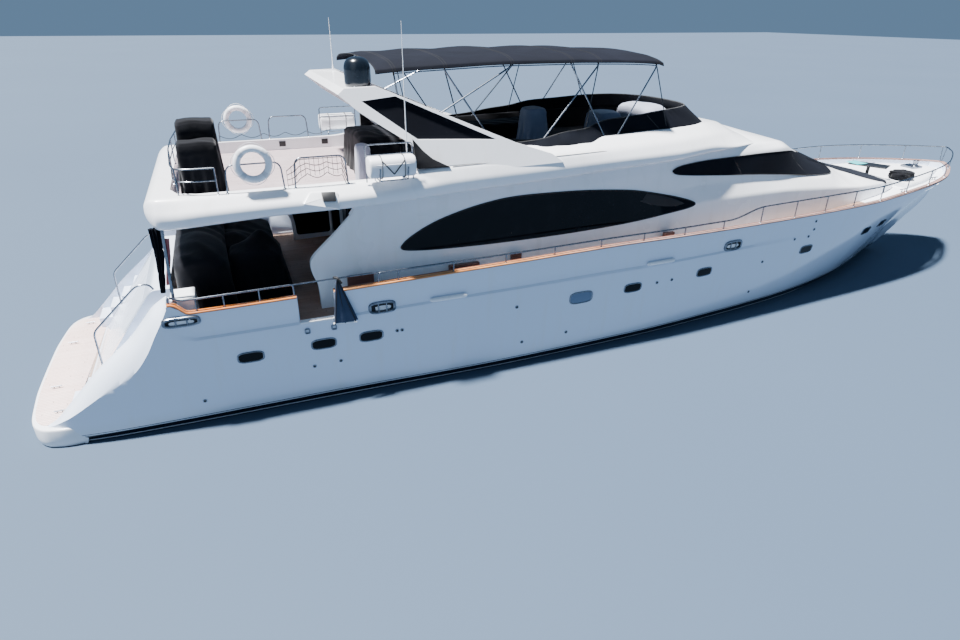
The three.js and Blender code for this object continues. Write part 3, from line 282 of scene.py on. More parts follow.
class Surface:
    """One piece's points and faces, gathered from grids and turned to face outward."""

    def __init__(self) -> None:
        """Starts with no points."""
        self.points: list[Array] = []
        self.faces: list[Array] = []
        self.count = 0

    def add(self, points: Array, faces: Sequence[Array], closed: bool = True) -> "Surface":
        """Takes points and faces. A closed set whose signed volume is negative is turned inside out.

        Args:
            points: any grid of points. faces: arrays of point numbers. closed: the set encloses a space.
        Returns: itself.
        """
        points = np.asarray(points, float).reshape(-1, 3)
        if closed:
            p = points - points.mean(0)
            fans = [f[:, [0, k, k + 1]] for f in faces for k in range(1, f.shape[1] - 1)]
            a, b, c = np.moveaxis(p[np.concatenate(fans)], 1, 0)
            if np.einsum("ij,ij->", a, np.cross(b, c)) < 0:
                faces = [f[:, ::-1] for f in faces]
        self.points.append(points)
        self.faces += [f + self.count for f in faces]
        self.count += len(points)
        return self

    def grid(self, p: Array, ring: bool = True, caps: bool = True) -> "Surface":
        """Adds a grid of points, row by row, as a solid.

        Args:
            p: the grid. ring: join each row's ends. caps: close the first and last rows with one face each.
        Returns: itself.
        """
        first = np.arange(p.shape[1])[None]
        ends = [first[:, ::-1], first + (len(p) - 1) * p.shape[1]]
        return self.add(p, [quads(p, ring), *ends] if caps else [quads(p, ring)], caps)

    def sheet(self, p: Array, ring: bool = False, turned: bool = False) -> "Surface":
        """Adds a grid of points as an open sheet.

        Args:
            p: the grid. ring: join each row's ends. turned: face it the other way.
        Returns: itself.
        """
        faces = quads(p, ring)
        return self.add(p, [faces[:, [0, 3, 2, 1]] if turned else faces], closed=False)

    def trough(self, x: Array, y: Array, low: Array, high: Array) -> "Surface":
        """Adds a solid as wide as y on both sides of the centreline.

        Args:
            x, y: places and half breadths. low, high: heights at each place.
        Returns: itself.
        """
        corners = ((-y, low), (y, low), (y, high), (-y, high))
        return self.grid(rings(x, np.stack([stack(*corner) for corner in corners], 1)))

    def sweep(
        self, path: Array, section: Array, up: Optional[Sequence[float]] = None, caps: bool = True
    ) -> "Surface":
        """Adds a section carried along a path.

        At each point the section's first axis is the path's direction times up, and its second is square to
        both; up is the normal of the path's best plane if none is given.

        Args:
            path: (n, 3) points. section: (k, 2) closed outline. up: a direction, never along the path.
            caps: close the ends.
        Returns: itself.
        """
        leg = unit(np.diff(path, axis=0))
        along = unit(np.concatenate([leg[:1], leg[:-1] + leg[1:], leg[-1:]]))
        if up is None:
            up = np.linalg.svd(path - path.mean(0), full_matrices=True)[2][-1]
        u = unit(np.cross(along, np.asarray(up, float)))
        v = np.cross(u, along)
        p = path[:, None] + section[None, :, :1] * u[:, None] + section[None, :, 1:] * v[:, None]
        return self.grid(p, caps=caps)

    def tube(self, points: Sequence, radius: float, bend: float = 0.09, sides: int = 10) -> "Surface":
        """Adds a round bar along a polyline.

        Args:
            points: corners. radius: of the bar. bend: how far each corner is rounded. sides: faces round it.
        Returns: itself.
        """
        path = np.array(points, float)
        if len(path) > 2 and bend > 0:
            path = soften(path, bend)
        return self.sweep(path, circle(sides, radius))

    def lathe(
        self, profile: Sequence, centre: Sequence[float], sides: int = 32, axis: Axis = Axis.Z
    ) -> "Surface":
        """Adds a profile turned about an axis.

        Args:
            profile: pairs of radius and height. centre: a point of the axis. sides: faces round it.
            axis: its direction.
        Returns: itself.
        """
        r, h = np.maximum(np.array(profile, float).T, [[1e-5], [-1e9]])
        turn = circle(sides)
        a, b = r[:, None] * turn[:, 0], r[:, None] * turn[:, 1]
        return self.grid(axis.place(h[:, None], a, b) + np.array(centre, float))

    def block(self, low: Sequence[float], high: Sequence[float], radius: float = 0.0) -> "Surface":
        """Adds a box between any two corners.

        Args:
            low, high: the corners. radius: of its upright edges.
        Returns: itself.
        """
        (x0, y0, z0), (x1, y1, z1) = np.sort([low, high], axis=0)
        plan = np.array([[x0, y0], [x1, y0], [x1, y1], [x0, y1]], float)
        if radius:
            plan = soften(plan, radius, 5, ring=True)
        return self.prism(plan, z0, z1, Axis.Z)

    def prism(self, outline: Array, start: float, end: float, axis: Axis = Axis.Y) -> "Surface":
        """Adds an outline, whose coordinates are the other two in X, Y, Z order, carried along an axis."""
        a, b = np.asarray(outline, float).T[:, None]
        return self.grid(axis.place(np.sort([[start], [end]], axis=0).astype(float), a, b))

    def plate(self, outline: Array, profile: Sequence, lay: Lay) -> "Surface":
        """Adds a raised plate or ring: one row of points for each step of a profile.

        Args:
            outline: (n, 2) points. profile: pairs of inward offset and height. lay: turns two coordinates
            and a height into points.
        Returns: itself.
        """
        flow = unit(np.roll(outline, -1, 0) - np.roll(outline, 1, 0))
        inward = np.stack([-flow[:, 1], flow[:, 0]], 1)
        area = np.sum(outline[:, 0] * np.roll(outline[:, 1], -1) - outline[:, 1] * np.roll(outline[:, 0], -1))
        inward = inward if area > 0 else -inward
        rows = [lay(*(outline + inward * offset).T, height) for offset, height in profile]
        return self.grid(np.stack(rows))

    def flange(self, foot: Sequence[float], sides: int = 14, neck: float = 0.016) -> "Surface":
        """Adds the round foot of a rail's post."""
        return self.lathe([(0.038, 0), (0.038, 0.006), (0.02, 0.02), (neck, 0.03)], foot, sides)

    def mesh(self, name: str) -> bpy.types.Mesh:
        """The gathered points and faces as a Blender mesh.

        Args:
            name: of the mesh.
        Returns: the mesh.
        """
        mesh = bpy.data.meshes.new(name)
        points = np.concatenate(self.points)
        sizes = np.concatenate([np.full(len(f), f.shape[1]) for f in self.faces])
        corners = np.concatenate([f.ravel() for f in self.faces])
        mesh.vertices.add(len(points))
        mesh.vertices.foreach_set("co", points.astype(np.float32).ravel())
        mesh.loops.add(len(corners))
        mesh.loops.foreach_set("vertex_index", corners.astype(np.int32))
        mesh.polygons.add(len(sizes))
        starts = np.concatenate([[0], np.cumsum(sizes)[:-1]])
        mesh.polygons.foreach_set("loop_start", starts.astype(np.int32))
        mesh.update(calc_edges=True)
        mesh.validate()
        return mesh

    def area(self) -> float:
        """The area of every face, in square metres."""
        points = np.concatenate(self.points)
        total = 0.0
        for f in self.faces:
            for k in range(1, f.shape[1] - 1):
                a, b, c = (points[f[:, i]] for i in (0, k, k + 1))
                total += float(np.linalg.norm(np.cross(b - a, c - a), axis=1).sum()) / 2
        return total


def new_object(name: str, mesh: bpy.types.Mesh) -> bpy.types.Object:
    """A mesh as an object at the origin, linked to the scene."""
    made = bpy.data.objects.new(name, mesh)
    bpy.context.scene.collection.objects.link(made)
    return made


def applied(made: bpy.types.Object) -> bpy.types.Object:
    """Works an object's modifiers into its mesh.

    Args:
        made: the object.
    Returns: the object.
    """
    graph = bpy.context.evaluated_depsgraph_get()
    mesh = bpy.data.meshes.new_from_object(made.evaluated_get(graph))
    made.modifiers.clear()
    made.data = mesh
    return made


def carve(base: Surface, cutters: Sequence[Surface], name: str) -> bpy.types.Object:
    """Cuts solids out of a base solid, one after another.

    Args:
        base: the solid. cutters: what is cut away. name: of the object.
    Returns: the object.
    """
    made = new_object(name, base.mesh(name))
    tools = [new_object(f"{name}_cut_{k}", c.mesh(f"{name}_cut_{k}")) for k, c in enumerate(cutters)]
    for tool in tools:
        cut = made.modifiers.new("cut", "BOOLEAN")
        cut.operation, cut.solver, cut.object = "DIFFERENCE", "MANIFOLD", tool
    applied(made)
    for tool in tools:
        bpy.data.objects.remove(tool)
    return made


def settle(
    made: bpy.types.Object,
    finish: "Finish",
    slot: str,
    *nodes: str,
    body: str = "yacht",
    sharp: Optional[float] = 35.0,
    bevel: float = 0.0,
    thickness: float = 0.0,
) -> bpy.types.Object:
    """Finishes a piece: shading, edge rounding, thickness, material and its ties to the frame.

    Args:
        made: the object. finish: its only finish. slot: not used.
        nodes: the CAD nodes it stands for. body: the CAD body it moves with.
        sharp: edges above this angle stay crisp, in degrees. bevel: edge rounding. thickness: of a sheet.
    Returns: the object.
    """
    mesh = made.data
    mesh.materials.clear()
    mesh.materials.append(finish.material)
    mesh.polygons.foreach_set("material_index", np.zeros(len(mesh.polygons), np.int32))
    mesh.polygons.foreach_set("use_smooth", np.ones(len(mesh.polygons), bool))
    if sharp is not None:
        mesh.set_sharp_from_angle(angle=math.radians(sharp))
    if thickness:
        solid = made.modifiers.new("thickness", "SOLIDIFY")
        solid.thickness, solid.offset = thickness, 1.0
    if bevel:
        edge = made.modifiers.new("edges", "BEVEL")
        edge.width, edge.segments, edge.limit_method = bevel, 2, "ANGLE"
        edge.angle_limit = math.radians(38)
        edge.harden_normals = True
    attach(made, body)
    if nodes:
        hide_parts(*nodes)
    LOG.info("%s: %d faces", made.name, len(mesh.polygons))
    return made


def build(
    surface: Surface, name: str, finish: "Finish", slot: str, *nodes: str, **looks: object
) -> bpy.types.Object:
    """Makes a finished piece from a surface."""
    return settle(new_object(name, surface.mesh(name)), finish, slot, *nodes, **looks)


def refine(node: str, finish: "Finish", slot: str, bevel: float, body: str = "yacht") -> bpy.types.Object:
    """A rounded copy of a plain CAD node: loose triangles merged, flat ones joined, edges rounded.

    Args:
        node: its name, which the copy stands for. finish, slot, body: as for settle. bevel: edge rounding.
    Returns: the object.
    """
    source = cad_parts[node]
    mesh = source.data.copy()
    made = new_object(f"{node}.smooth", mesh)
    weld = made.modifiers.new("weld", "WELD")
    weld.merge_threshold = 1e-4
    flat = made.modifiers.new("flat", "DECIMATE")
    flat.decimate_type, flat.angle_limit = "DISSOLVE", math.radians(0.6)
    applied(made)
    return settle(made, finish, slot, node, body=body, bevel=bevel)


def face_up(made: bpy.types.Object) -> None:
    """Turns a sheet over where its first face looks down."""
    if made.data.polygons[0].normal.z < 0:
        made.data.flip_normals()


# Finishes


def tone(red: float, green: float, blue: float) -> tuple[float, float, float, float]:
    """A screen colour from 0 to 255 as the linear colour that shaders take."""
    c = np.array([red, green, blue]) / 255
    linear = np.where(c <= 0.04045, c / 12.92, ((c + 0.055) / 1.055) ** 2.4)
    return (float(linear[0]), float(linear[1]), float(linear[2]), 1.0)


class Shader:
    """One procedural material under construction, with short calls for the nodes that the finishes share."""

    def __init__(self, name: str) -> None:
        """Starts a material of this name."""
        self.material = bpy.data.materials.new(f"finish.{name}")
        self.material.use_nodes = True
        self.tree = self.material.node_tree
        self.surface = self.tree.nodes["Principled BSDF"]
        self.place = self.node("ShaderNodeTexCoord").outputs["Object"]

    def node(self, kind: str, **settings: object) -> bpy.types.Node:
        """A new node with its own properties set.

        Args:
            kind: its type. settings: its properties.
        Returns: the node.
        """
        made = self.tree.nodes.new(kind)
        for key, value in settings.items():
            setattr(made, key, value)
        return made

    def feed(self, socket: bpy.types.NodeSocket, value: object) -> None:
        """Links another node's output to a socket, or sets the socket's value.

        Args:
            socket: the one to fill. value: an output or a constant.
        """
        if isinstance(value, bpy.types.NodeSocket):
            self.tree.links.new(value, socket)
        else:
            socket.default_value = value

    def maths(self, operation: str, *values: object) -> bpy.types.NodeSocket:
        """A Math node's result.

        Args:
            operation: its kind. values: sockets or numbers.
        Returns: its output.
        """
        made = self.node("ShaderNodeMath", operation=operation)
        for socket, value in zip(made.inputs, values):
            self.feed(socket, value)
        return made.outputs[0]

    def times(self, a: object, b: object) -> bpy.types.NodeSocket:
        """A product."""
        return self.maths("MULTIPLY", a, b)

    def plus(self, a: object, b: object) -> bpy.types.NodeSocket:
        """A sum."""
        return self.maths("ADD", a, b)

    def axes(self) -> Sequence[bpy.types.NodeSocket]:
        """The point's X, Y and Z."""
        made = self.node("ShaderNodeSeparateXYZ")
        self.feed(made.inputs[0], self.place)
        return made.outputs

    def point(self, x: object, y: object, z: object) -> bpy.types.NodeSocket:
        """A point from three values.

        Args:
            x, y, z: sockets or numbers.
        Returns: its output.
        """
        made = self.node("ShaderNodeCombineXYZ")
        for socket, value in zip(made.inputs, (x, y, z)):
            self.feed(socket, value)
        return made.outputs[0]

    def stretched(self, x: float, y: float, z: float) -> bpy.types.NodeSocket:
        """The place with each axis scaled.

        Args:
            x, y, z: factors.
        Returns: its output.
        """
        made = self.node("ShaderNodeMapping")
        self.feed(made.inputs["Vector"], self.place)
        made.inputs["Scale"].default_value = (x, y, z)
        return made.outputs[0]

    def noise(self, scale: float, detail: float = 3.0, vector: object = None) -> bpy.types.NodeSocket:
        """Soft noise between 0 and 1.

        Args:
            scale: bumps in a metre. detail: finer layers. vector: where it is read, or the place.
        Returns: its output.
        """
        made = self.node("ShaderNodeTexNoise")
        self.feed(made.inputs["Vector"], self.place if vector is None else vector)
        made.inputs["Scale"].default_value = scale
        made.inputs["Detail"].default_value = detail
        return made.outputs["Fac"]

    def ramp(
        self, value: object, low: float, high: float, to_low: float = 0.0, to_high: float = 1.0
    ) -> bpy.types.NodeSocket:
        """A value carried from one range to another and held at its ends.

        Args:
            value: a socket. low, high: its range. to_low, to_high: the new range.
        Returns: its output.
        """
        made = self.node("ShaderNodeMapRange", interpolation_type="SMOOTHSTEP")
        for socket, v in zip(made.inputs, (value, low, high, to_low, to_high)):
            self.feed(socket, v)
        return made.outputs[0]

    def mix(self, part: object, first: object, second: object) -> bpy.types.NodeSocket:
        """A colour between two.

        Args:
            part: 0 for the first, 1 for the second. first, second: screen colours or sockets.
        Returns: its output.
        """
        made = self.node("ShaderNodeMix", data_type="RGBA")
        self.feed(made.inputs["Factor"], part)
        for slot, colour in ((6, first), (7, second)):
            self.feed(made.inputs[slot], tone(*colour) if isinstance(colour, tuple) else colour)
        return made.outputs[2]

    def line(self, value: object, width: float, soft: float = 0.25) -> bpy.types.NodeSocket:
        """1 on a line where a value's distance from the nearest whole number is below width."""
        near = self.maths("PINGPONG", value, 0.5)
        return self.ramp(near, width * (1 - soft), width * (1 + soft), 1.0, 0.0)

    def bump(self, *heights: tuple[object, float]) -> None:
        """Sets the surface's relief.

        Args:
            heights: pairs of a height and its depth in metres.
        """
        normal: object = None
        for height, depth in heights:
            made = self.node("ShaderNodeBump")
            made.inputs["Strength"].default_value = 1.0
            made.inputs["Distance"].default_value = depth
            self.feed(made.inputs["Height"], height)
            if normal is not None:
                self.feed(made.inputs["Normal"], normal)
            normal = made.outputs[0]
        self.feed(self.surface.inputs["Normal"], normal)

    def done(self, **sockets: object) -> bpy.types.Material:
        """Sets the surface's sockets, with underscores for spaces, and gives the material."""
        for key, value in sockets.items():
            self.feed(self.surface.inputs[key.replace("_", " ")], value)
        return self.material


@dataclass(frozen=True)
class Finish:
    """A finish that makes its material once."""

    name: str

    def shade(self, s: Shader) -> bpy.types.Material:
        """Builds the material's nodes."""
        raise NotImplementedError

    @property
    def material(self) -> bpy.types.Material:
        """The material, made on first use."""
        return bpy.data.materials.get(f"finish.{self.name}") or self.shade(Shader(self.name))


@dataclass(frozen=True)
class Gelcoat(Finish):
    """Polished white resin: faint clouding, water marks that run down, and a very shallow ripple."""

    colour: Colour = (233, 236, 241)
    gloss: float = 0.22

    def shade(self, s: Shader) -> bpy.types.Material:
        """Builds the material's nodes."""
        cloud = s.ramp(s.noise(0.6), 0.35, 0.7)
        runs = s.ramp(s.noise(1.0, 4.0, s.stretched(4.0, 4.0, 0.5)), 0.52, 0.75)
        dim = tuple(c * 0.955 for c in self.colour)
        aged = (self.colour[0] * 0.93, self.colour[1] * 0.925, self.colour[2] * 0.90)
        base = s.mix(s.times(cloud, 0.6), self.colour, dim)
        base = s.mix(s.times(runs, 0.35), base, aged)
        s.bump((s.noise(3.0), 0.0012), (s.noise(160.0, 1.0), 0.00012))
        rough = s.plus(s.times(cloud, 0.08), self.gloss)
        return s.done(
            Base_Color=base, Roughness=rough, Coat_Weight=0.35, Coat_Roughness=0.06, Specular_IOR_Level=0.5
        )


@dataclass(frozen=True)
class HullPaint(Finish):
    """White topsides with a pin line, a boot stripe and dark paint below: bands by height, the stripe's top
    rising toward the bow. The white is tinted blue, which is painted shade."""

    name: str = "hull_paint_shade_tinted"
    # The blue tint of this white is painted shade: the cool shade of the side under sky light.
    white: Colour = (212, 223, 240)
    black: Colour = (14, 18, 28)
    stripe_low: float = 0.06
    stripe_high: float = 0.18
    rise: float = 0.05
    gap: float = 0.028
    pin: float = 0.018
    blunt_end: float = -14.72

    def shade(self, s: Shader) -> bpy.types.Material:
        """Builds the material's nodes."""
        x, _, z = s.axes()
        climb = s.ramp(x, -12.6, 8.0, 0.0, self.rise)
        top = s.plus(climb, self.stripe_high)

        def above(level: object) -> bpy.types.NodeSocket:
            """1 above a level."""
            return s.maths("GREATER_THAN", z, level)

        def between(low: object, high: object) -> bpy.types.NodeSocket:
            """1 between two levels."""
            return s.maths("SUBTRACT", above(low), above(high))

        band = between(self.stripe_low, top)
        pin_low = s.plus(top, self.gap)
        pin = between(pin_low, s.plus(pin_low, self.pin))
        dark = s.maths("MAXIMUM", band, pin)
        dark = s.times(dark, s.maths("GREATER_THAN", x, self.blunt_end))
        below = s.maths("SUBTRACT", 1.0, above(0.03))
        scum = s.ramp(z, 0.55, 0.1, 0.0, 0.5)
        cloud = s.noise(0.5)
        runs = s.ramp(s.noise(1.0, 4.0, s.stretched(5.0, 5.0, 0.35)), 0.5, 0.8)
        white = s.mix(s.times(runs, 0.25), self.white, (214, 216, 216))
        white = s.mix(s.times(scum, s.noise(2.4)), white, (196, 196, 180))
        base = s.mix(dark, white, self.black)
        base = s.mix(below, base, (17, 24, 36))
        s.bump((s.noise(1.1, 1.0), 0.004), (s.noise(150.0, 1.0), 0.00012))
        rough = s.plus(s.times(cloud, 0.1), s.plus(0.1, s.times(below, 0.4)))
        return s.done(Base_Color=base, Roughness=rough, Coat_Weight=0.6, Coat_Roughness=0.04)


@dataclass(frozen=True)
class Planks(Finish):
    """Teak laid fore and aft: planks by width along Y with dark caulking, each plank of its own shade, and
    grain stretched along it."""

    light: Colour
    dark: Colour
    caulk: Colour = (34, 32, 32)
    width: float = 0.07
    bond: float = 2.4
    seam: float = 0.055
    across: bool = False
    bare_ahead: float = 1e3

    def shade(self, s: Shader) -> bpy.types.Material:
        """Builds the material's nodes."""
        x, y, _ = s.axes()
        if self.across:
            x, y = y, x
        lane = s.maths("DIVIDE", y, self.width)
        shift = s.node("ShaderNodeTexWhiteNoise", noise_dimensions="1D")
        s.feed(shift.inputs["W"], s.maths("FLOOR", lane))
        butt = s.plus(s.maths("DIVIDE", x, self.bond), shift.outputs[0])
        cell = s.node("ShaderNodeTexWhiteNoise", noise_dimensions="2D")
        s.feed(cell.inputs["Vector"], s.point(s.maths("FLOOR", lane), s.maths("FLOOR", butt), 0.0))
        stretch = (9.0, 90.0, 90.0) if not self.across else (90.0, 9.0, 90.0)
        grain = s.noise(1.0, 5.0, s.stretched(*stretch))
        shade = s.plus(s.times(cell.outputs[0], 0.45), s.times(grain, 0.5))
        wood = s.mix(shade, self.light, self.dark)
        wear = s.ramp(s.noise(0.9), 0.4, 0.75)
        wood = s.mix(s.times(wear, 0.3), wood, tuple(0.5 * (a + 225) for a in self.light))
        lines = s.maths("MAXIMUM", s.line(lane, self.seam), s.line(butt, 0.002))
        base = s.mix(lines, wood, self.caulk)
        ahead = s.maths("GREATER_THAN", s.axes()[0], self.bare_ahead)
        base = s.mix(ahead, base, (226, 230, 236))
        grit = s.noise(220.0, 2.0)
        s.bump((s.maths("SUBTRACT", 1.0, lines), 0.002), (grain, 0.0008), (grit, 0.0006))
        return s.done(Base_Color=base, Roughness=s.ramp(grain, 0.2, 0.8, 0.55, 0.75))


@dataclass(frozen=True)
class Wood(Finish):
    """Solid wood: fine grain along X over broad bands of shade, bright under varnish or grey from weather."""

    light: Colour
    dark: Colour
    varnish: float = 1.0

    def shade(self, s: Shader) -> bpy.types.Material:
        """Builds the material's nodes."""
        grain = s.noise(1.0, 6.0, s.stretched(3.0, 60.0, 60.0))
        broad = s.noise(0.7)
        part = s.plus(s.times(grain, 0.6), s.times(broad, 0.4))
        base = s.mix(s.ramp(part, 0.3, 0.7), self.light, self.dark)
        s.bump((grain, 0.0004 + 0.001 * (1 - self.varnish)))
        rough = s.ramp(broad, 0.3, 0.8, 0.6 - 0.4 * self.varnish, 0.75 - 0.4 * self.varnish)
        return s.done(Base_Color=base, Roughness=rough, Coat_Weight=self.varnish, Coat_Roughness=0.06)


@dataclass(frozen=True)
class CapWood(Finish):
    """A cap's wood: varnished orange at the after end, bare grey-pink further forward, with grain along X."""

    def shade(self, s: Shader) -> bpy.types.Material:
        """Builds the material's nodes."""
        x, _, _ = s.axes()
        grain = s.noise(1.0, 4.0, s.stretched(1.6, 42.0, 42.0))
        bare = s.ramp(s.plus(x, s.times(s.noise(0.8), 3.5)), -5.0, 1.5)
        bright = s.mix(s.ramp(grain, 0.3, 0.7), (214, 150, 92), (168, 98, 50))
        worn = s.mix(s.ramp(grain, 0.35, 0.7), (150, 122, 116), (112, 88, 82))
        s.bump((grain, 0.0012))
        return s.done(Base_Color=s.mix(bare, bright, worn), Roughness=s.ramp(bare, 0, 1, 0.28, 0.75))


@dataclass(frozen=True)
class Glass(Finish):
    """Near-black glazing: a mirror-smooth face, faint smears and a slow ripple."""

    name: str = "dark_glass"
    colour: Colour = (8, 11, 16)

    def shade(self, s: Shader) -> bpy.types.Material:
        """Builds the material's nodes."""
        smear = s.ramp(s.noise(2.2, 5.0), 0.45, 0.8)
        base = s.mix(smear, self.colour, tuple(c + 8 for c in self.colour))
        s.bump((s.noise(0.9, 1.0), 0.003))
        return s.done(Base_Color=base, Roughness=s.plus(s.times(smear, 0.08), 0.04), IOR=1.22)


@dataclass(frozen=True)
class Cloth(Finish):
    """Woven cloth: crossing threads, uneven fading, soft creases and a sheen of loose fibre."""

    colour: Colour
    faded: Colour
    thread: float = 0.003
    creases: float = 0.012
    crease_scale: float = 2.6
    sheen: float = 0.25
    rough: float = 0.85

    def shade(self, s: Shader) -> bpy.types.Material:
        """Builds the material's nodes."""
        x, y, z = s.axes()
        k = 2 * math.pi / self.thread
        warp = s.maths("SINE", s.times(s.plus(x, z), k))
        weft = s.maths("SINE", s.times(s.maths("SUBTRACT", y, z), k))
        weave = s.plus(s.times(s.times(warp, weft), 0.5), 0.5)
        fade = s.ramp(s.noise(1.3, 5.0), 0.3, 0.75)
        base = s.mix(fade, self.colour, self.faded)
        base = s.mix(s.times(weave, 0.15), base, tuple(c * 0.7 for c in self.colour))
        folds = s.noise(self.crease_scale, 2.0)
        s.bump((folds, self.creases), (s.noise(14.0, 2.0), 0.003), (weave, self.thread * 0.1))
        return s.done(
            Base_Color=base, Roughness=self.rough, Sheen_Weight=self.sheen, Sheen_Roughness=0.5,
            Specular_IOR_Level=0.12
        )


@dataclass(frozen=True)
class Metal(Finish):
    """Bare metal: soft clouding of the polish and hairline scratches."""

    colour: Colour = (132, 138, 147)
    rough: float = 0.2
    dulled: Colour = (90, 96, 106)

    def shade(self, s: Shader) -> bpy.types.Material:
        """Builds the material's nodes."""
        cloud = s.noise(7.0, 4.0)
        hair = s.noise(1.0, 2.0, s.stretched(40.0, 300.0, 300.0))
        base = s.mix(s.ramp(cloud, 0.4, 0.75), self.colour, self.dulled)
        s.bump((hair, 0.0001))
        rough = s.plus(s.times(cloud, 0.14), self.rough)
        return s.done(Base_Color=base, Metallic=1.0, Roughness=rough)


@dataclass(frozen=True)
class Plastic(Finish):
    """Moulded plastic, rubber or paint: an even colour with dust on it and a fine pebbled skin."""

    colour: Colour
    rough: float = 0.4
    dust: Colour = (150, 152, 156)
    coat: float = 0.0

    def shade(self, s: Shader) -> bpy.types.Material:
        """Builds the material's nodes."""
        cloud = s.ramp(s.noise(3.0, 4.0), 0.45, 0.85)
        base = s.mix(s.times(cloud, 0.16), self.colour, self.dust)
        s.bump((s.noise(420.0, 1.0), 0.0003))
        rough = s.plus(s.times(cloud, 0.15), self.rough)
        return s.done(Base_Color=base, Roughness=rough, Coat_Weight=self.coat, Coat_Roughness=0.08)


@dataclass(frozen=True)
class NonSkid(Finish):
    """White deck resin with a raised anti-slip pattern of small cells."""

    name: str = "non_skid"
    colour: Colour = (222, 226, 232)

    def shade(self, s: Shader) -> bpy.types.Material:
        """Builds the material's nodes."""
        cells = s.node("ShaderNodeTexVoronoi", feature="DISTANCE_TO_EDGE")
        s.feed(cells.inputs["Vector"], s.place)
        cells.inputs["Scale"].default_value = 90.0
        dirt = s.ramp(s.noise(1.6, 4.0), 0.4, 0.8)
        base = s.mix(s.times(dirt, 0.5), self.colour, (198, 200, 202))
        s.bump((s.ramp(cells.outputs["Distance"], 0.0, 0.25), 0.0012))
        return s.done(Base_Color=base, Roughness=0.6)


@dataclass(frozen=True)
class Rope(Finish):
    """Laid rope or webbing: slanting strands and fuzz."""

    name: str = "rope"
    colour: Colour = (16, 17, 20)

    def shade(self, s: Shader) -> bpy.types.Material:
        """Builds the material's nodes."""
        x, y, z = s.axes()
        slant = s.maths("SINE", s.times(s.plus(s.plus(x, y), z), 260.0))
        base = s.mix(s.ramp(slant, -1.0, 1.0), self.colour, tuple(c + 22 for c in self.colour))
        s.bump((slant, 0.0015), (s.noise(120.0), 0.001))
        return s.done(Base_Color=base, Roughness=0.9, Sheen_Weight=0.2)


HULL_PAINT = HullPaint()
GELCOAT = Gelcoat("gelcoat")
# The garage door's white has the hull's blue tint, which is painted shade.
DOOR_PAINT_SHADE_TINTED = Gelcoat("door_paint", (214, 224, 240))
SUPERSTRUCTURE = Gelcoat("superstructure", (240, 242, 246))
DECK_TEAK = Planks("deck_teak", (158, 128, 110), (124, 96, 80), bare_ahead=8.4)
PALE_TEAK = Planks("pale_teak", (232, 208, 202), (208, 180, 172), (120, 102, 98))
FLY_TEAK = Planks("fly_teak", (180, 166, 170), (152, 134, 136), (80, 70, 70))
VARNISH = Wood("varnished_teak", (214, 134, 66), (168, 88, 36))
# The helm sole's teak is darkened: painted shade under the bimini, partly standing in for black covers there.
HELM_TEAK_SHADED = Planks("helm_teak_shaded", (74, 64, 62), (56, 47, 46), (24, 20, 20))
WEATHERED = Wood("weathered_teak", (172, 152, 142), (134, 116, 108), 0.0)
CAP_TEAK = CapWood("cap_teak")
BROWN_TEAK = Wood("brown_teak", (122, 78, 64), (88, 54, 44), 0.3)
NET_CLOTH = Cloth("net_cloth", (44, 56, 76), (60, 72, 94), 0.006, 0.01, 4.0, 0.1)
PALE_GLASS = Plastic("pale_glass", (92, 112, 138), 0.15, (120, 138, 160))
GLASS = Glass()
SCREEN_MESH = Cloth("screen_mesh", (7, 10, 18), (11, 15, 24), 0.004, 0.01, 2.2, 0.0)
CANVAS = Cloth("navy_canvas", (11, 14, 23), (15, 18, 28), 0.003, 0.02, 1.5, 0.0)
BLACK_CLOTH = Cloth("black_cover", (7, 8, 13), (13, 15, 22), 0.003, 0.03, 2.4, 0.08)
GREY_CLOTH = Cloth("grey_cover", (140, 146, 164), (158, 162, 178), 0.003, 0.02, 2.2, 0.4)
BLUE_GREY_CLOTH = Cloth("blue_grey_cover", (98, 112, 138), (118, 130, 152), 0.003, 0.02, 2.2, 0.4)
MAT_CLOTH = Cloth("mat_cloth", (20, 24, 32), (28, 32, 41), 0.004, 0.01, 3.0, 0.02)
RED_CLOTH = Cloth("red_cloth", (140, 52, 58), (190, 130, 132), 0.003, 0.01, 6.0, 0.1)
PALE_CLOTH = Cloth("pale_cloth", (206, 208, 214), (222, 224, 228), 0.003, 0.01, 6.0, 0.4)
TURQUOISE_CLOTH = Cloth("turquoise_cloth", (32, 168, 176), (60, 186, 190), 0.003, 0.01, 6.0, 0.4)
PANEL = Cloth("navy_panel", (4, 7, 15), (7, 10, 19), 0.004, 0.004, 1.2, 0.0)
BLACK_PLASTIC = Plastic("black_plastic", (12, 14, 18), 0.38, (50, 54, 60))
DOME_PLASTIC = Plastic("dome_plastic", (8, 14, 22), 0.22, (40, 48, 60), 0.4)
WHITE_PLASTIC = Plastic("white_plastic", (232, 235, 240), 0.32, (196, 198, 200))
RUBBER = Plastic("rubber", (16, 18, 22), 0.7, (50, 52, 56))
STAINLESS = Metal("stainless")
BRONZE = Metal("bronze", (178, 124, 66), 0.3, (120, 90, 54))
ANTIFOULED = Plastic("antifouled_metal", (22, 30, 44), 0.62, (56, 66, 76))
NON_SKID = NonSkid()
ROPE = Rope()


def mirrored(outline: Array) -> Array:
    """A half plan outline with Y above 0, closed by its other half."""
    return np.concatenate([outline, outline[::-1] * np.array([1.0, -1.0])])


def both_sides(half: Array) -> Array:
    """A line of points to the centreline, mirrored and then led back along its own side."""
    return np.concatenate([mirror(half), half[-2::-1]])


def across(half: Array) -> Array:
    """Half sections (..., k, 2) of Y and Z joined with their other halves: starboard foot, over the middle,
    port foot."""
    other = half * np.array([-1.0, 1.0])
    return np.concatenate([other, half[..., ::-1, :]], axis=-2)


def rings(x: Array, section: Array) -> Array:
    """Sections (n, m, 2) of Y and Z stood up at their X."""
    return np.concatenate([np.broadcast_to(x[:, None, None], (*section.shape[:2], 1)), section], axis=2)


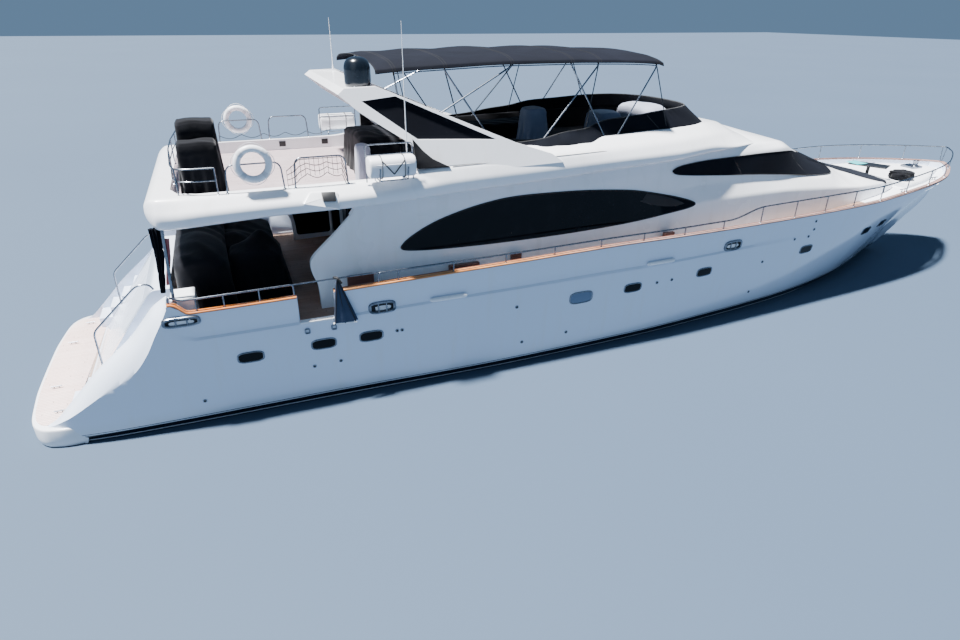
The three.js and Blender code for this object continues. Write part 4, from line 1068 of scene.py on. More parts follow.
def read_across(levels: Array, values: Array, q: Array) -> Array:
    """For each row, the value where its rising levels reach a height, by straight pieces.

    Args:
        levels, values: one row for each height. q: the heights.
    Returns: one value for each row.
    """
    rows = np.arange(len(q))
    i = np.clip((levels < q[:, None]).sum(1) - 1, 0, levels.shape[1] - 2)
    low, high = levels[rows, i], levels[rows, i + 1]
    part = np.clip((q - low) / np.maximum(high - low, 1e-6), 0, 1)
    return values[rows, i] * (1 - part) + values[rows, i + 1] * part


def oval(width: float, height: float, count: int = 40, square: float = 2.4) -> Array:
    """An oval outline: a circle whose sine and cosine are raised to 2 over square, so that it has shoulders.

    Args:
        width, height: its size. count: points. square: 2 for a true oval, more for fuller corners.
    Returns: the outline.
    """
    t = np.linspace(0, 2 * math.pi, count, endpoint=False)
    return 0.5 * stack(width * power(np.cos(t), 2 / square), height * power(np.sin(t), 2 / square))


def power(q: Array, e: float) -> Array:
    """A sine or cosine raised to a power with its sign kept."""
    return np.sign(q) * np.abs(q) ** e


def rounded_bar(width: float, height: float, radius: float) -> Array:
    """A bar's section with rounded corners, standing on its first axis."""
    w, h = width / 2, height
    return soften(np.array([[-w, 0], [w, 0], [w, h], [-w, h]], float), radius, 4, ring=True)


@dataclass
class Studio:
    """Camera at the photo's place, pale floor at the waterline and soft light."""

    eye: Point = (-10.74, -16.09, 8.30)
    yaw: float = 21.98
    pitch: float = 26.21
    roll: float = -0.41
    lens: float = 23.426
    floor_half: float = 260.0
    sky: Point = (0.36, 0.62, 1.0)
    lamps: tuple[tuple[str, float, float, Point, Colour], ...] = (
        ("sun", 22.0, 4.0, (0.34, -0.04, -1.0), (1.0, 0.985, 0.97)),
        ("fill", 0.25, 50.0, (0.75, 0.7, -0.5), (0.8, 0.9, 1.0)),
    )

    def camera(self) -> None:
        """Sets the camera from its heading, drop and lean."""
        yaw, pitch, roll = (math.radians(a) for a in (self.yaw, self.pitch, self.roll))
        ahead = np.array([math.sin(yaw) * math.cos(pitch), math.cos(yaw) * math.cos(pitch), -math.sin(pitch)])
        right = np.array([math.cos(yaw), -math.sin(yaw), 0.0])
        down = np.cross(ahead, right)
        right, down = (
            right * math.cos(roll) + down * math.sin(roll),
            -right * math.sin(roll) + down * math.cos(roll),
        )
        data = bpy.data.cameras.new("camera")
        data.lens, data.sensor_width = self.lens, 36.0
        data.clip_start, data.clip_end = 0.1, 1000.0
        made = bpy.data.objects.new("camera", data)
        bpy.context.scene.collection.objects.link(made)
        turn = np.column_stack([right, -down, -ahead])
        made.matrix_world = Matrix.Translation(self.eye) @ Matrix(turn.tolist()).to_4x4()
        bpy.context.scene.camera = made

    def light(self) -> None:
        """A pale sky, a high soft sun over the port bow and a weak fill from astern."""
        world = bpy.data.worlds.new("sky")
        world.use_nodes = True
        sky = world.node_tree.nodes["Background"]
        sky.inputs["Color"].default_value = (*self.sky, 1.0)
        sky.inputs["Strength"].default_value = 0.35
        bpy.context.scene.world = world
        for name, energy, spread, aim, colour in self.lamps:
            data = bpy.data.lights.new(name, "SUN")
            data.energy, data.angle, data.color = energy, math.radians(spread), colour
            made = bpy.data.objects.new(name, data)
            made.rotation_euler = Vector(aim).to_track_quat("-Z", "Y").to_euler()
            bpy.context.scene.collection.objects.link(made)

    def floor(self) -> None:
        """A plain pale floor."""
        h = self.floor_half
        s = Shader("floor")
        base = s.mix(s.noise(0.05), (56, 74, 94), (61, 79, 99))
        material = s.done(Base_Color=base, Roughness=0.75)
        mesh = bpy.data.meshes.new("floor")
        mesh.from_pydata([(-h, -h, 0), (h, -h, 0), (h, h, 0), (-h, h, 0)], [], [(0, 1, 2, 3)])
        mesh.materials.append(material)
        new_object("floor", mesh)

    def build(self) -> None:
        """Camera, light and floor."""
        self.camera()
        self.light()
        self.floor()


@dataclass
class Hull:
    """The hull: side surface, deck well, stern wings, transom, stairs, gates and garage."""

    sections: Table = Table(
        "x keelZ chineY chineZ lowY lowZ midY midZ topY topZ",
        """
        -15100 -950 2600 -170 2780 300 2810 1400 2820 3000
        -14600 -1000 2800 -175 2990 300 3050 1400 3100 3000
        -13600 -1040 2900 -180 3080 300 3160 1400 3240 3000
        -12250 -1080 2940 -180 3120 300 3230 1500 3330 2990
        -11950 -1085 2945 -180 3125 300 3235 1500 3340 2770
        -9400 -1150 2990 -175 3140 300 3285 1500 3350 2800
        -5000 -1250 3050 -160 3240 300 3320 1500 3350 2880
        -1000 -1300 2960 -110 3150 300 3270 1500 3350 2960
        2000 -1300 2750 -60 2930 350 3100 1550 3220 2930
        5000 -1250 2420 0 2600 450 2870 1600 3020 2920
        8000 -1100 1770 110 2000 600 2470 1750 2790 2950
        9500 -950 1270 190 1540 700 2110 1850 2620 3040
        11000 -560 730 370 960 900 1620 1950 2360 3120
        12500 180 240 720 410 1180 1000 2100 1880 3150
        13900 1180 70 1320 150 1550 520 2300 1110 3170
        14700 1800 30 1860 60 2020 240 2560 520 3180
        15080 2450 20 2480 28 2580 45 2780 70 3190
        """,
    )
    deck: Table = Table(
        "x z",
        """
        -12350 2150
        -9000 2150
        -1000 2330
        5000 2640
        8000 2770
        9500 2850
        11000 2920
        12500 2950
        13900 2970
        14800 2980
        """,
    )
    wing: Table = Table(
        "x z part",
        """
        -15300 430 100
        -15060 480 300
        -14600 880 750
        -14000 1500 1000
        -13500 1925 985
        -13200 2180 900
        -12900 2515 700
        -12650 2800 430
        -12340 3005 60
        """,
    )
    roll_y: tuple[float, ...] = (2.72, 2.86, 2.99, 3.11, 3.20, 3.32)
    roll_drop: tuple[float, ...] = (0.0, 0.06, 0.19, 0.40, 0.68, 1.15)
    bulwark: float = 0.13
    quarter: float = -12.34
    transom_foot: Spot = (-14.40, 0.62)
    transom_head: Spot = (-12.78, 2.78)
    gate: Point = (-9.82, -9.03, 2.18)
    knuckle: float = 0.042
    well_ends: Spot = (-12.35, 14.8)
    stairs_y: Spot = (1.95, 2.70)
    stair_foot: Spot = (-14.65, 0.46)
    stair_run: float = 0.33
    stair_rise: float = 0.281667
    stair_count: int = 6
    door_reach: Spot = (0.25, 2.362)
    door_half: float = 1.60
    garage_half: float = 1.53

    def levels(self) -> Array:
        """Places up a side section, 0 at the chine and 3 at the sheer, close together at the knuckle."""
        fine = [2.12, 2.25, 2.37, 2.45, 2.49, 2.51, 2.55, 2.59, 2.62, 2.64, 2.7, 2.78, 2.86, 2.94, 3.0]
        return np.concatenate([np.linspace(0, 2, 19), fine])

    def side_section(self, x: Array) -> tuple[Array, Array]:
        """The side from chine to sheer, with the knuckle's step in.

        Args:
            x: stations.
        Returns: Y and Z, a row for each station.
        """
        names = ("chine", "low", "mid", "top")
        y = np.stack([self.sections(n + "Y", x) for n in names], -1)
        z = np.stack([self.sections(n + "Z", x) for n in names], -1)
        t = self.levels()
        y, z = (monotone(np.arange(4.0), v, t) for v in (y, z))
        step = smooth(2.50, 2.56, t) * (1 - smooth(2.60, 2.99, t))
        fade = smooth(-12.3, -11.9, x) * (1 - smooth(2.0, 6.0, x))
        return y - self.knuckle * step * fade[:, None], z

    def side(self, x: Array, z: Array) -> Array:
        """The side's half breadth at places given by X and Z."""
        x, z = np.broadcast_arrays(np.asarray(x, float), np.asarray(z, float))
        y_rows, z_rows = self.side_section(x.ravel())
        return read_across(z_rows, y_rows, z.ravel()).reshape(x.shape)

    def shell(self) -> Surface:
        """The hull's outside: sections every 15 cm, each one from sheer to keel to sheer."""
        x = np.unique(np.concatenate([np.linspace(-15.1, 15.08, 203), self.sections.x[-6:]]))
        y, z = self.side_section(x)
        keel = stack(np.zeros(len(x)), self.sections("keelZ", x))[:, None]
        side = stack(y, z)
        other = side[:, ::-1] * np.array([-1.0, 1.0])
        section = np.concatenate([other, keel, side], axis=1)
        return Surface().grid(rings(x, section))

    def well(self) -> Surface:
        """The space inside the bulwarks, above the deck."""
        x = np.linspace(*self.well_ends, 120)
        y = self.sections("topY", x) - self.bulwark
        return Surface().trough(x, y, self.deck("z", x), np.full_like(x, 4.0))

    def wing_cut(self, side: float) -> Surface:
        """What is cut off over a stern wing: its crown falls along the wing and rolls over outboard.

        Args:
            side: -1 to starboard, 1 to port.
        Returns: the solid.
        """
        x = np.linspace(-15.3, self.quarter, 64)
        z, part = self.wing("z", x), self.wing("part", x)
        y = np.linspace(self.roll_y[0], self.roll_y[-1], 16)
        drop = monotone(np.array(self.roll_y), np.array(self.roll_drop), y)
        rolled = stack(np.broadcast_to(y, (len(x), 16)), z[:, None] - drop * part[:, None])
        inner = stack(np.full_like(x, 1.95), z)[:, None]
        outer = stack(np.full_like(x, 3.7), z - drop[-1] * part)[:, None]
        top = np.broadcast_to(np.array([[3.7, 3.8], [1.95, 3.8]]), (len(x), 2, 2))
        section = np.concatenate([inner, rolled, outer, top], axis=1) * np.array([side, 1.0])
        return Surface().grid(rings(x, section))

    def on_transom(self, along: float, out: float) -> tuple[float, float]:
        """A place measured from the transom's foot.

        Args:
            along: up the transom. out: off it.
        Returns: X and Z.
        """
        foot, head = np.array(self.transom_foot), np.array(self.transom_head)
        up = unit(head - foot)
        found = foot + along * up + out * np.array([-up[1], up[0]])
        return float(found[0]), float(found[1])

    def transom_cut(self) -> Surface:
        """What is cut off abaft the transom, with a hollow curve at its foot and a round head."""
        line = np.array(
            [
                [-15.3, 0.46], [-14.52, 0.46], self.transom_foot, self.transom_head, [-12.70, 2.85],
                [-12.33, 2.85]
            ]
        )
        line = soften(line, 0.09, 6)
        outline = np.concatenate([line, [[-12.33, 3.9], [-15.3, 3.9]]])
        return Surface().prism(outline, -1.951, 1.951)

    def stairs(self, side: float) -> Surface:
        """The stair well on one side: six risers from the platform to the deck.

        Args:
            side: -1 to starboard, 1 to port.
        Returns: the solid.
        """
        k = np.arange(self.stair_count)
        low = np.stack([self.stair_foot[0] + self.stair_run * k, self.stair_foot[1] + self.stair_rise * k], 1)
        high = low + np.array([0, self.stair_rise])
        steps = np.stack([low, high], 1).reshape(-1, 2)
        end = self.quarter + 0.02
        outline = np.concatenate([[[-15.3, 0.46]], steps, [[end, 2.15], [end, 3.9], [-15.3, 3.9]]])
        inner, outer = self.stairs_y
        return Surface().prism(outline, side * inner, side * outer)

    def garage(self) -> list[Surface]:
        """The door's recess in the transom and the tender garage behind it."""
        foot, head = self.door_reach
        corners = ((foot, -0.08), (head, -0.08), (head, 0.1), (foot, 0.1))
        recess = np.array([self.on_transom(a, o) for a, o in corners])
        room = np.array(
            [
                self.on_transom(0.31, 0.1), self.on_transom(2.29, 0.1), (-12.90, 2.05), (-12.56, 2.0),
                (-10.60, 2.0), (-10.60, 0.70), (-13.90, 0.70), (-14.12, 0.82),
            ]
        )
        door, garage = self.door_half, self.garage_half
        return [Surface().prism(recess, -door, door), Surface().prism(room, -garage, garage)]

    def gates(self) -> list[Surface]:
        """The boarding gates' openings in both bulwarks."""
        aft, fore, sill = self.gate
        return [Surface().block((aft, s * 3.0, sill), (fore, s * 3.6, 3.6)) for s in SIDES.values()]

    def build(self) -> None:
        """The carved hull in paint."""
        cutters = [self.well(), self.transom_cut(), *self.garage(), *self.gates()]
        for side in SIDES.values():
            cutters += [self.wing_cut(side), self.stairs(side)]
        made = carve(self.shell(), cutters, "hull.shell")
        settle(made, HULL_PAINT, "gelcoat", "hull", sharp=26)


@dataclass
class HullFittings:
    """Portholes, hawse rings, fender bars and small fittings on the hull's sides."""

    hull: Hull
    portholes: tuple[tuple[float, float, float, float], ...] = (
        (-10.93, 1.54, 0.57, 0.28), (-9.36, 1.58, 0.57, 0.28), (-8.28, 1.58, 0.57, 0.28),
        (-2.75, 1.67, 0.70, 0.35), (-1.15, 1.69, 0.57, 0.28), (1.31, 1.75, 0.57, 0.28),
        (5.45, 1.80, 0.57, 0.28), (8.55, 1.90, 0.52, 0.28), (9.55, 1.98, 0.52, 0.28),
    )
    lit: tuple[int, ...] = (3,)
    hawses: tuple[tuple[float, float, float, float], ...] = (
        (-12.12, 2.63, 0.72, 0.24), (-7.98, 2.27, 0.62, 0.28), (2.22, 2.42, 0.64, 0.30),
    )
    fenders: tuple[Point, ...] = ((-6.86, -5.91, 2.26), (-0.81, 0.12, 2.32))
    outlets: tuple[Spot, ...] = (
        (-9.62, 1.02), (-9.02, 1.05), (-12.02, 0.61), (-4.4, 0.66), (-3.1, 0.70), (3.46, 0.68),
        (-7.67, 1.61), (-7.55, 1.605), (-4.6, 1.71), (-0.36, 1.71), (0.15, 1.71), (3.6, 1.685),
        (5.46, 2.72), (5.5, 2.45), (5.35, 2.24), (4.74, 2.24),
    )
    eyes: tuple[Spot, ...] = ((-9.684, 1.97), (-9.105, 1.966))
    rim: tuple[Spot, ...] = (
        (0, -0.02), (0, 0.010), (0.010, 0.020), (0.024, 0.020), (0.036, 0.008), (0.036, -0.02)
    )
    hawse: tuple[Spot, ...] = (
        (-0.01, -0.03), (-0.01, 0.012), (0.008, 0.04), (0.035, 0.046), (0.056, 0.034), (0.062, 0.004),
        (0.062, -0.03),
    )
    fender_out: float = 0.045
    fender_radius: float = 0.056
    outlet_size: float = 0.085

    def oval_on(self, x: float, z: float, w: float, h: float) -> Array:
        """An oval's outline about a place on the side."""
        return oval(w, h, 48, 3.4) + np.array([x, z])

    def build(self) -> None:
        """Both sides' fittings, gathered by finish."""
        rims, panes, light, bars, dark, pale = (Surface() for _ in range(6))
        for side in SIDES.values():
            lay = on_side(self.hull.side, side)
            for k, (x, z, w, h) in enumerate(self.portholes):
                line = self.oval_on(x, z, w, h)
                rims.plate(line, self.rim, lay)
                if k in self.lit:
                    pale.plate(line, [(0.034, -0.02), (0.034, 0.008), (0.05, 0.012)], lay)
                else:
                    panes.plate(line, [(0.034, -0.02), (0.034, 0.007)], lay)
            for x, z, w, h in self.hawses:
                line = self.oval_on(x, z, w, h)
                rims.plate(line, self.hawse, lay)
                dark.plate(line, [(0.06, -0.03), (0.06, 0.004)], lay)
                pane = oval(0.66 * w, 0.36 * h, 40, 3.0) + np.array([x, z - 0.02])
                light.plate(pane, [(0, -0.03), (0, 0.006), (0.01, 0.01)], lay)
                for offset in (-0.15, 0.15):
                    horn = lay(np.full(2, x + offset * w), np.array([z - 0.42 * h, z + 0.42 * h]), 0.02)
                    rims.tube(horn, 0.016)
            for x0, x1, z in self.fenders:
                x = np.linspace(x0, x1, 24)
                end = np.sqrt(np.clip(1 - np.abs(np.linspace(-1.0, 1.0, 24)) ** 12, 0.0, 1))
                path = lay(x, np.full_like(x, z), self.fender_out)
                radius = 0.004 + (self.fender_radius - 0.004) * end
                bars.grid(path[:, None] + radius[:, None, None] * stack(0, *circle(14).T))
            for x, z in self.outlets:
                line = oval(self.outlet_size, self.outlet_size, 20, 2.0) + np.array([x, z])
                rims.plate(line, [(0, -0.02), (0, 0.012), (0.018, 0.012), (0.018, -0.02)], lay)
                dark.plate(line, [(0.016, -0.02), (0.016, 0.004)], lay)
            for x, z in self.eyes:
                eye = oval(0.12, 0.13, 32, 4.0) + np.array([x, z])
                rims.plate(eye, [(0, -0.02), (0, 0.03), (0.022, 0.034), (0.024, -0.02)], lay)
        build(rims, "hull.rims", STAINLESS, "stainless")
        build(panes, "hull.panes", GLASS, "dark_glass")
        build(pale, "hull.pale_panes", PALE_GLASS, "dark_glass")
        build(light, "hull.light_panes", WHITE_PLASTIC, "white_plastic")
        build(bars, "hull.fender_bars", SUPERSTRUCTURE, "white_plastic")
        build(dark, "hull.openings", RUBBER, "black_plastic")


@dataclass
class SwimPlatform:
    """The platform: a rounded slab, its teak pad and pop-up cleats."""

    outline: tuple[Spot, ...] = (
        (-14.1, 2.90), (-14.4, 2.975), (-14.65, 3.0), (-14.8, 2.995), (-14.98, 2.96), (-15.14, 2.91),
        (-15.29, 2.79), (-15.41, 2.60), (-15.485, 2.32), (-15.535, 1.90), (-15.60, 1.0), (-15.61, 0.0),
    )
    profile: tuple[Spot, ...] = (
        (0.10, -0.06), (0.03, 0.03), (0.008, 0.11), (0.0, 0.18), (0.0, 0.41), (0.004, 0.435),
        (0.012, 0.452), (0.026, 0.46),
    )
    pad: tuple[Spot, ...] = (
        (-14.54, 1.93), (-14.655, 1.96), (-14.655, 2.66), (-15.0, 2.74), (-15.16, 2.72), (-15.28, 2.62),
        (-15.37, 2.45), (-15.43, 2.2), (-15.475, 1.85), (-15.53, 1.0), (-15.54, 0.0),
    )
    cleats: tuple[Spot, ...] = ((-15.2, -1.15), (-15.2, 1.15), (-14.95, -2.3), (-14.95, 2.3))

    def plan(self, half: Sequence[Spot], straight: int, count: int) -> Array:
        """A whole outline from half of one: some straight points first, and the rest as a curve of count
        points."""
        points = np.array(half)
        curve = resample(points[straight:], count, curved=True)
        return mirrored(np.concatenate([points[:straight], curve]))[:-1]

    def build(self) -> None:
        """Slab, teak, edging and cleats."""
        slab = Surface().plate(self.plan(self.outline, 1, 40), self.profile, level)
        build(slab, "platform.slab", GELCOAT, "gelcoat", "swim_platform", sharp=50)
        pad = Surface().plate(self.plan(self.pad, 3, 30), [(0, 0.45), (0, 0.472), (0.004, 0.476)], level)
        build(pad, "platform.teak", PALE_TEAK, "teak", sharp=50)
        edge = Surface().block((-14.60, -1.94, 0.455), (-14.53, 1.94, 0.474))
        build(edge, "platform.edging", WEATHERED, "teak", bevel=0.004)
        metal = Surface()
        for x, y in self.cleats:
            metal.block((x - 0.09, y - 0.035, 0.46), (x + 0.09, y + 0.035, 0.474), 0.03)
            for offset in (-0.05, 0.05):
                metal.lathe([(0.011, 0.47), (0.011, 0.52)], (x + offset, y, 0), 12)
            metal.tube([(x - 0.11, y, 0.525), (x + 0.11, y, 0.525)], 0.014)
        build(metal, "platform.cleats", STAINLESS, "stainless")


@dataclass
class Caps:
    """Cap rails along the bulwarks: varnished aft, weathered forward."""

    hull: Hull
    width: float = 0.15
    depth: float = 0.045
    aft: Spot = (-12.32, -9.822)
    fore: float = -9.028

    def line(self, start: float, end: float, side: float, count: int) -> Array:
        """Points along the middle of a bulwark's top."""
        x = np.linspace(start, end, count)
        return stack(x, side * (self.hull.sections("topY", x) - 0.065), self.hull.sections("topZ", x) - 0.003)

    def build(self) -> None:
        """Aft caps and the long cap round the bow."""
        section = rounded_bar(self.width, self.depth, 0.016)
        for name, side in SIDES.items():
            path = self.line(*self.aft, side, 40)
            cap = Surface().sweep(path, section, (0, 0, 1))
            build(cap, f"caprail.aft.{name}", VARNISH, "varnished_teak", f"caprail_aft_{name}", sharp=50)
        one = self.line(self.fore, 14.97, -1.0, 200)
        tip = np.array([[15.05, -0.03, one[-1, 2]], [15.05, 0.03, one[-1, 2]]])
        path = np.concatenate([one, tip, mirror(one[::-1])])
        cap = Surface().sweep(path, section, (0, 0, 1))
        build(cap, "caprail.forward", CAP_TEAK, "teak", "caprail_forward", sharp=50)
        worn = Surface()
        for side in (1.0, -1.0):
            line = one[:-2:2] * np.array([1, side, 1]) + np.array([0, side * 0.068, 0.045])
            worn.sweep(line, rounded_bar(0.022, 0.008, 0.003), (0, 0, 1))
        build(worn, "caprail.strip", BROWN_TEAK, "varnished_teak", sharp=50)
        sill = Surface()
        for side in SIDES.values():
            sill.block((-9.815, side * 3.19, 2.165), (-9.035, side * 3.345, 2.205))
        build(sill, "gate.sills", SUPERSTRUCTURE, "superstructure", bevel=0.008)


@dataclass
class Rails:
    """Polished rails: stern handrails, cockpit rails and the bow rail with its posts."""

    hull: Hull
    radius: float = 0.022
    handrail: tuple[Spot, ...] = (
        (-14.02, 1.06), (-14.01, 2.03), (-13.02, 2.95), (-12.86, 2.99), (-12.72, 2.95), (-12.65, 2.80),
    )
    bow: tuple[Spot, ...] = (
        (-8.0, 3.10), (-5.0, 3.13), (-1.0, 3.19), (1.9, 3.19), (3.2, 3.44), (5.0, 3.44), (8.0, 3.45),
        (9.5, 3.54), (11.0, 3.64), (12.5, 3.69), (13.9, 3.72), (14.7, 3.74),
    )
    posts: tuple[float, ...] = (
        -7.56, -6.24, -4.91, -3.59, -2.27, -0.98, 0.35, 1.72, 3.12, 4.5, 5.8, 7.1, 8.4, 9.76, 11.16, 12.7,
        14.1
    )
    cockpit: tuple[Point, ...] = (
        (-12.29, 3.25, 2.90), (-12.28, 3.25, 3.18), (-12.10, 3.28, 3.08), (-11.79, 3.28, 3.07),
        (-9.89, 3.28, 3.095), (-9.86, 3.28, 3.065), (-9.86, 3.28, 2.80),
    )
    gate_bar: tuple[Spot, ...] = ((-9.90, 3.09), (-9.42, 3.098), (-8.9, 3.105), (-7.98, 3.11))
    cockpit_posts: tuple[float, ...] = (-11.79, -11.26, -10.56)

    def post(
        self, surface: Surface, foot: Sequence[float], head: Sequence[float], radius: float = 0.017
    ) -> None:
        """A post with a round flange at its foot."""
        surface.tube([foot, head], radius, sides=8)
        surface.lathe([(0.036, 0.0), (0.036, 0.006), (0.018, 0.022), (0.0135, 0.03)], foot, 14)

    def build(self) -> None:
        """All the rails."""
        for name, side in SIDES.items():
            rail = Surface().tube([(x, side * 1.86, z) for x, z in self.handrail], self.radius, 0.12, 12)
            build(rail, f"handrail.{name}", STAINLESS, "stainless", f"stern_handrail_{name}")
            rail = Surface().tube([(x, side * y, z) for x, y, z in self.cockpit], self.radius, 0.08, 12)
            for x in self.cockpit_posts:
                foot = self.hull.sections.at("topZ", x) + 0.035
                self.post(rail, (x, side * 3.28, foot), (x, side * 3.28, 3.075))
            rail.tube([(x, side * 3.28, z) for x, z in self.gate_bar], 0.018, 0.1)
            build(rail, f"cockpit_rail.{name}", STAINLESS, "stainless", f"cockpit_rail_{name}")
        self.round_bow()

    def round_bow(self) -> None:
        """The bow rail with its posts and stem stays."""
        x = np.linspace(-8.0, 14.7, 110)
        table = np.array(self.bow)
        y = self.hull.sections("topY", x) - 0.065
        z = monotone(table[:, 0], table[:, 1], x)
        side = stack(x, -y, z)
        foot = side[:1] - np.array([[0.03, 0, side[0, 2] - float(self.hull.sections("topZ", x[:1])[0])]])
        run = np.concatenate([foot, side, [[15.0, -0.12, 3.765], [15.04, 0.0, 3.77]]])
        rail = Surface().tube(np.concatenate([run, mirror(run[-2::-1])]), self.radius, 0.03, 10)
        for px in self.posts:
            py, pz = (self.hull.sections.at(c, px) for c in ("topY", "topZ"))
            head = float(monotone(table[:, 0], table[:, 1], np.array(px)))
            for s in SIDES.values():
                self.post(rail, (px, s * (py - 0.065), pz + 0.033), (px, s * (py - 0.065), head))
        for s in SIDES.values():
            rail.tube([(15.0, s * 0.03, 3.21), (15.0, s * 0.08, 3.76)], 0.0135)
        build(rail, "bow_rail.tube", STAINLESS, "stainless", "bow_rail")


@dataclass
class Deckhouse:
    """The deckhouse shell with its saloon windows, aft bulkhead and sliding doors."""

    sections: Table = Table(
        "x baseY shelfY shelfZ footY footZ browY browZ shoulderY shoulderZ crownZ",
        """
        -9500 2670 2670 2900 2660 3400 2600 4300 2560 4590 4590
        -7850 2680 2675 2900 2660 3400 2600 4300 2560 4590 4590
        -6100 2680 2675 2900 2660 3400 2600 4320 2550 4640 4640
        -3500 2680 2675 3000 2655 3500 2600 4350 2540 4720 4720
        -1500 2650 2640 3150 2600 3700 2540 4450 2480 4800 4800
        200 2600 2590 3300 2480 3900 2400 4540 2330 4860 4880
        1500 2540 2520 3600 2380 4000 2300 4720 2200 4920 5000
        3300 2470 2420 3600 2260 3950 2120 4760 1980 4960 5270
        4600 2380 2320 3580 2150 3850 1920 4780 1700 4920 5000
        5800 2300 2220 3500 2030 3790 1300 4480 1000 4560 4600
        6860 2200 2130 3420 1880 3740 700 4180 450 4220 4250
        7600 2130 2060 3370 1400 3710 560 3920 400 3950 3970
        8350 2050 1990 3310 800 3680 300 3712 200 3716 3720
        9900 1720 1680 3230 900 3340 300 3380 200 3386 3390
        10600 1480 1420 3130 800 3180 300 3200 200 3203 3205
        """,
    )
    bottom: float = 2.0
    wing_wall: tuple[Spot, ...] = (
        (-9.90, 5.0), (-8.20, 5.0), (-8.27, 4.45), (-8.36, 4.29), (-8.81, 3.86), (-9.30, 3.43),
        (-9.385, 3.30), (-9.385, 3.12), (-9.33, 2.92), (-9.27, 2.80), (-9.25, 2.5), (-9.24, 1.9),
        (-9.90, 1.9),
    )
    wing_pane: tuple[Spot, ...] = (
        (-8.16, 4.16), (-8.52, 4.02), (-9.18, 3.38), (-9.26, 3.16), (-9.16, 2.72), (-9.14, 2.32),
        (-8.16, 2.32),
    )
    window: tuple[Spot, ...] = (
        (-7.25, 3.48), (-6.95, 3.29), (-4.80, 3.22), (-1.94, 3.26), (-0.07, 3.38), (1.15, 3.59),
        (-0.50, 4.05), (-1.75, 4.225), (-3.20, 4.31), (-4.82, 4.28), (-6.34, 3.95),
    )
    names: tuple[str, ...] = ("shelf", "foot", "brow", "shoulder")

    def wall(self, x: Array, z: Array) -> Array:
        """The wall's half breadth at places given by X and Z."""
        return self.sections.breadth(self.names, x, z, self.bottom)

    def roof(self, x: Array) -> tuple[Array, Array]:
        """Shoulder and crown heights at X."""
        return self.sections("shoulderZ", x), self.sections("crownZ", x)

    def shell(self) -> Surface:
        """Sections every 10 cm: base, shelf, foot, brow and shoulder with rounded corners, under a crowned
        roof."""
        x = np.linspace(-9.5, 10.6, 202)
        shoulder, crown = self.sections("shoulderY", x), self.roof(x)
        half = [stack(self.sections("baseY", x), np.full_like(x, self.bottom))]
        half += [stack(self.sections(n + "Y", x), self.sections(n + "Z", x)) for n in self.names]
        rise = crown[1] - crown[0]
        half += [stack(shoulder * (1 - f), crown[0] + rise * f * (1.7 - 0.7 * f)) for f in (0.3, 0.65)]
        half += [stack(0 * x, crown[1])]
        section = across(np.stack(half, 1))
        middle = section.shape[1] // 2
        section = np.delete(section, middle, axis=1)
        return Surface().grid(rings(x, soften(section, 0.075, 5)))

    def build(self) -> bpy.types.Object:
        """Shell, windows, bulkhead and doors."""
        wall = soften(np.array(self.wing_wall), 0.10, 4, ring=True)
        x = np.linspace(-9.95, 3.2, 30)
        y = self.sections("browY", x) - 0.10
        cuts = [
            Surface().prism(wall, -3.2, 3.2),
            Surface().block((-9.8, -2.4, 4.2), (-8.11, 2.4, 4.95)),
            Surface().trough(x, y, np.full_like(x, 2.1), np.full_like(x, 4.25)),
        ]
        made = carve(self.shell(), cuts, "deckhouse.shell")
        settle(made, SUPERSTRUCTURE, "superstructure", "deckhouse", sharp=28)
        self.windows()
        self.bulkhead()
        self.doors()
        return made

    def windows(self) -> None:
        """The saloon windows on the wall's own curve, with gaskets and joints between their panes."""
        outline = loop_curve(np.array(self.window), 10)
        grid_t = np.linspace(0, 1, 9)[:, None]
        left, right = outline[:, 0].argmin(), outline[:, 0].argmax()
        lower = np.roll(outline, -left, 0)[: (right - left) % len(outline) + 1]
        upper = np.roll(outline, -right, 0)[: (left - right) % len(outline) + 1][::-1]
        ease = 0.5 * (1 - np.cos(np.linspace(0.04, math.pi - 0.04, 90)))
        q = outline[left, 0] + (outline[right, 0] - outline[left, 0]) * ease
        z0, z1 = np.interp(q, lower[:, 0], lower[:, 1]), np.interp(q, upper[:, 0], upper[:, 1])
        zz = z0 + (z1 - z0) * grid_t
        xx = np.broadcast_to(q, zz.shape)
        for name, side in SIDES.items():
            lay = on_side(self.wall, side)
            front, back = lay(xx, zz, 0.012), lay(xx, zz, -0.01)
            pane = np.concatenate([front, back[::-1]], axis=0).transpose(1, 0, 2)
            build(
                Surface().grid(pane), f"saloon_window.{name}.pane", GLASS, "dark_glass",
                f"saloon_window_{name}", sharp=40
            )
            edge = Surface().plate(
                outline, [(-0.012, -0.01), (-0.012, 0.016), (0.004, 0.021), (0.02, 0.012), (0.02, -0.01)],
                lay
            )
            build(edge, f"saloon_window.{name}.gasket", RUBBER, "dark_glass")
            posts = Surface()
            for px in (-5.9, -4.5, -3.1, -1.7, -0.3):
                a, b = np.interp(px, q, z0) + 0.02, np.interp(px, q, z1) - 0.02
                zz_post = np.linspace(a, b, 12)
                posts.sweep(
                    lay(np.full(12, px), zz_post, 0.0115), strip(0.006, 0, 0.002) * side, (0, side, 0)
                )
            build(posts, f"saloon_window.{name}.joints", RUBBER, "dark_glass")

    def bulkhead(self) -> None:
        """The aft bulkhead with its fixed panes and those of the wing walls."""
        refine("aft_bulkhead", SUPERSTRUCTURE, "superstructure", 0.008)
        panes = Surface()
        for side in SIDES.values():
            panes.block((-8.112, side * 0.84, 2.32), (-8.095, side * 2.42, 4.16))
            panes.prism(soften(np.array(self.wing_pane), 0.08, 4, ring=True), side * 2.475, side * 2.503)
        build(panes, "aft_bulkhead.panes", GLASS, "dark_glass", bevel=0.004)

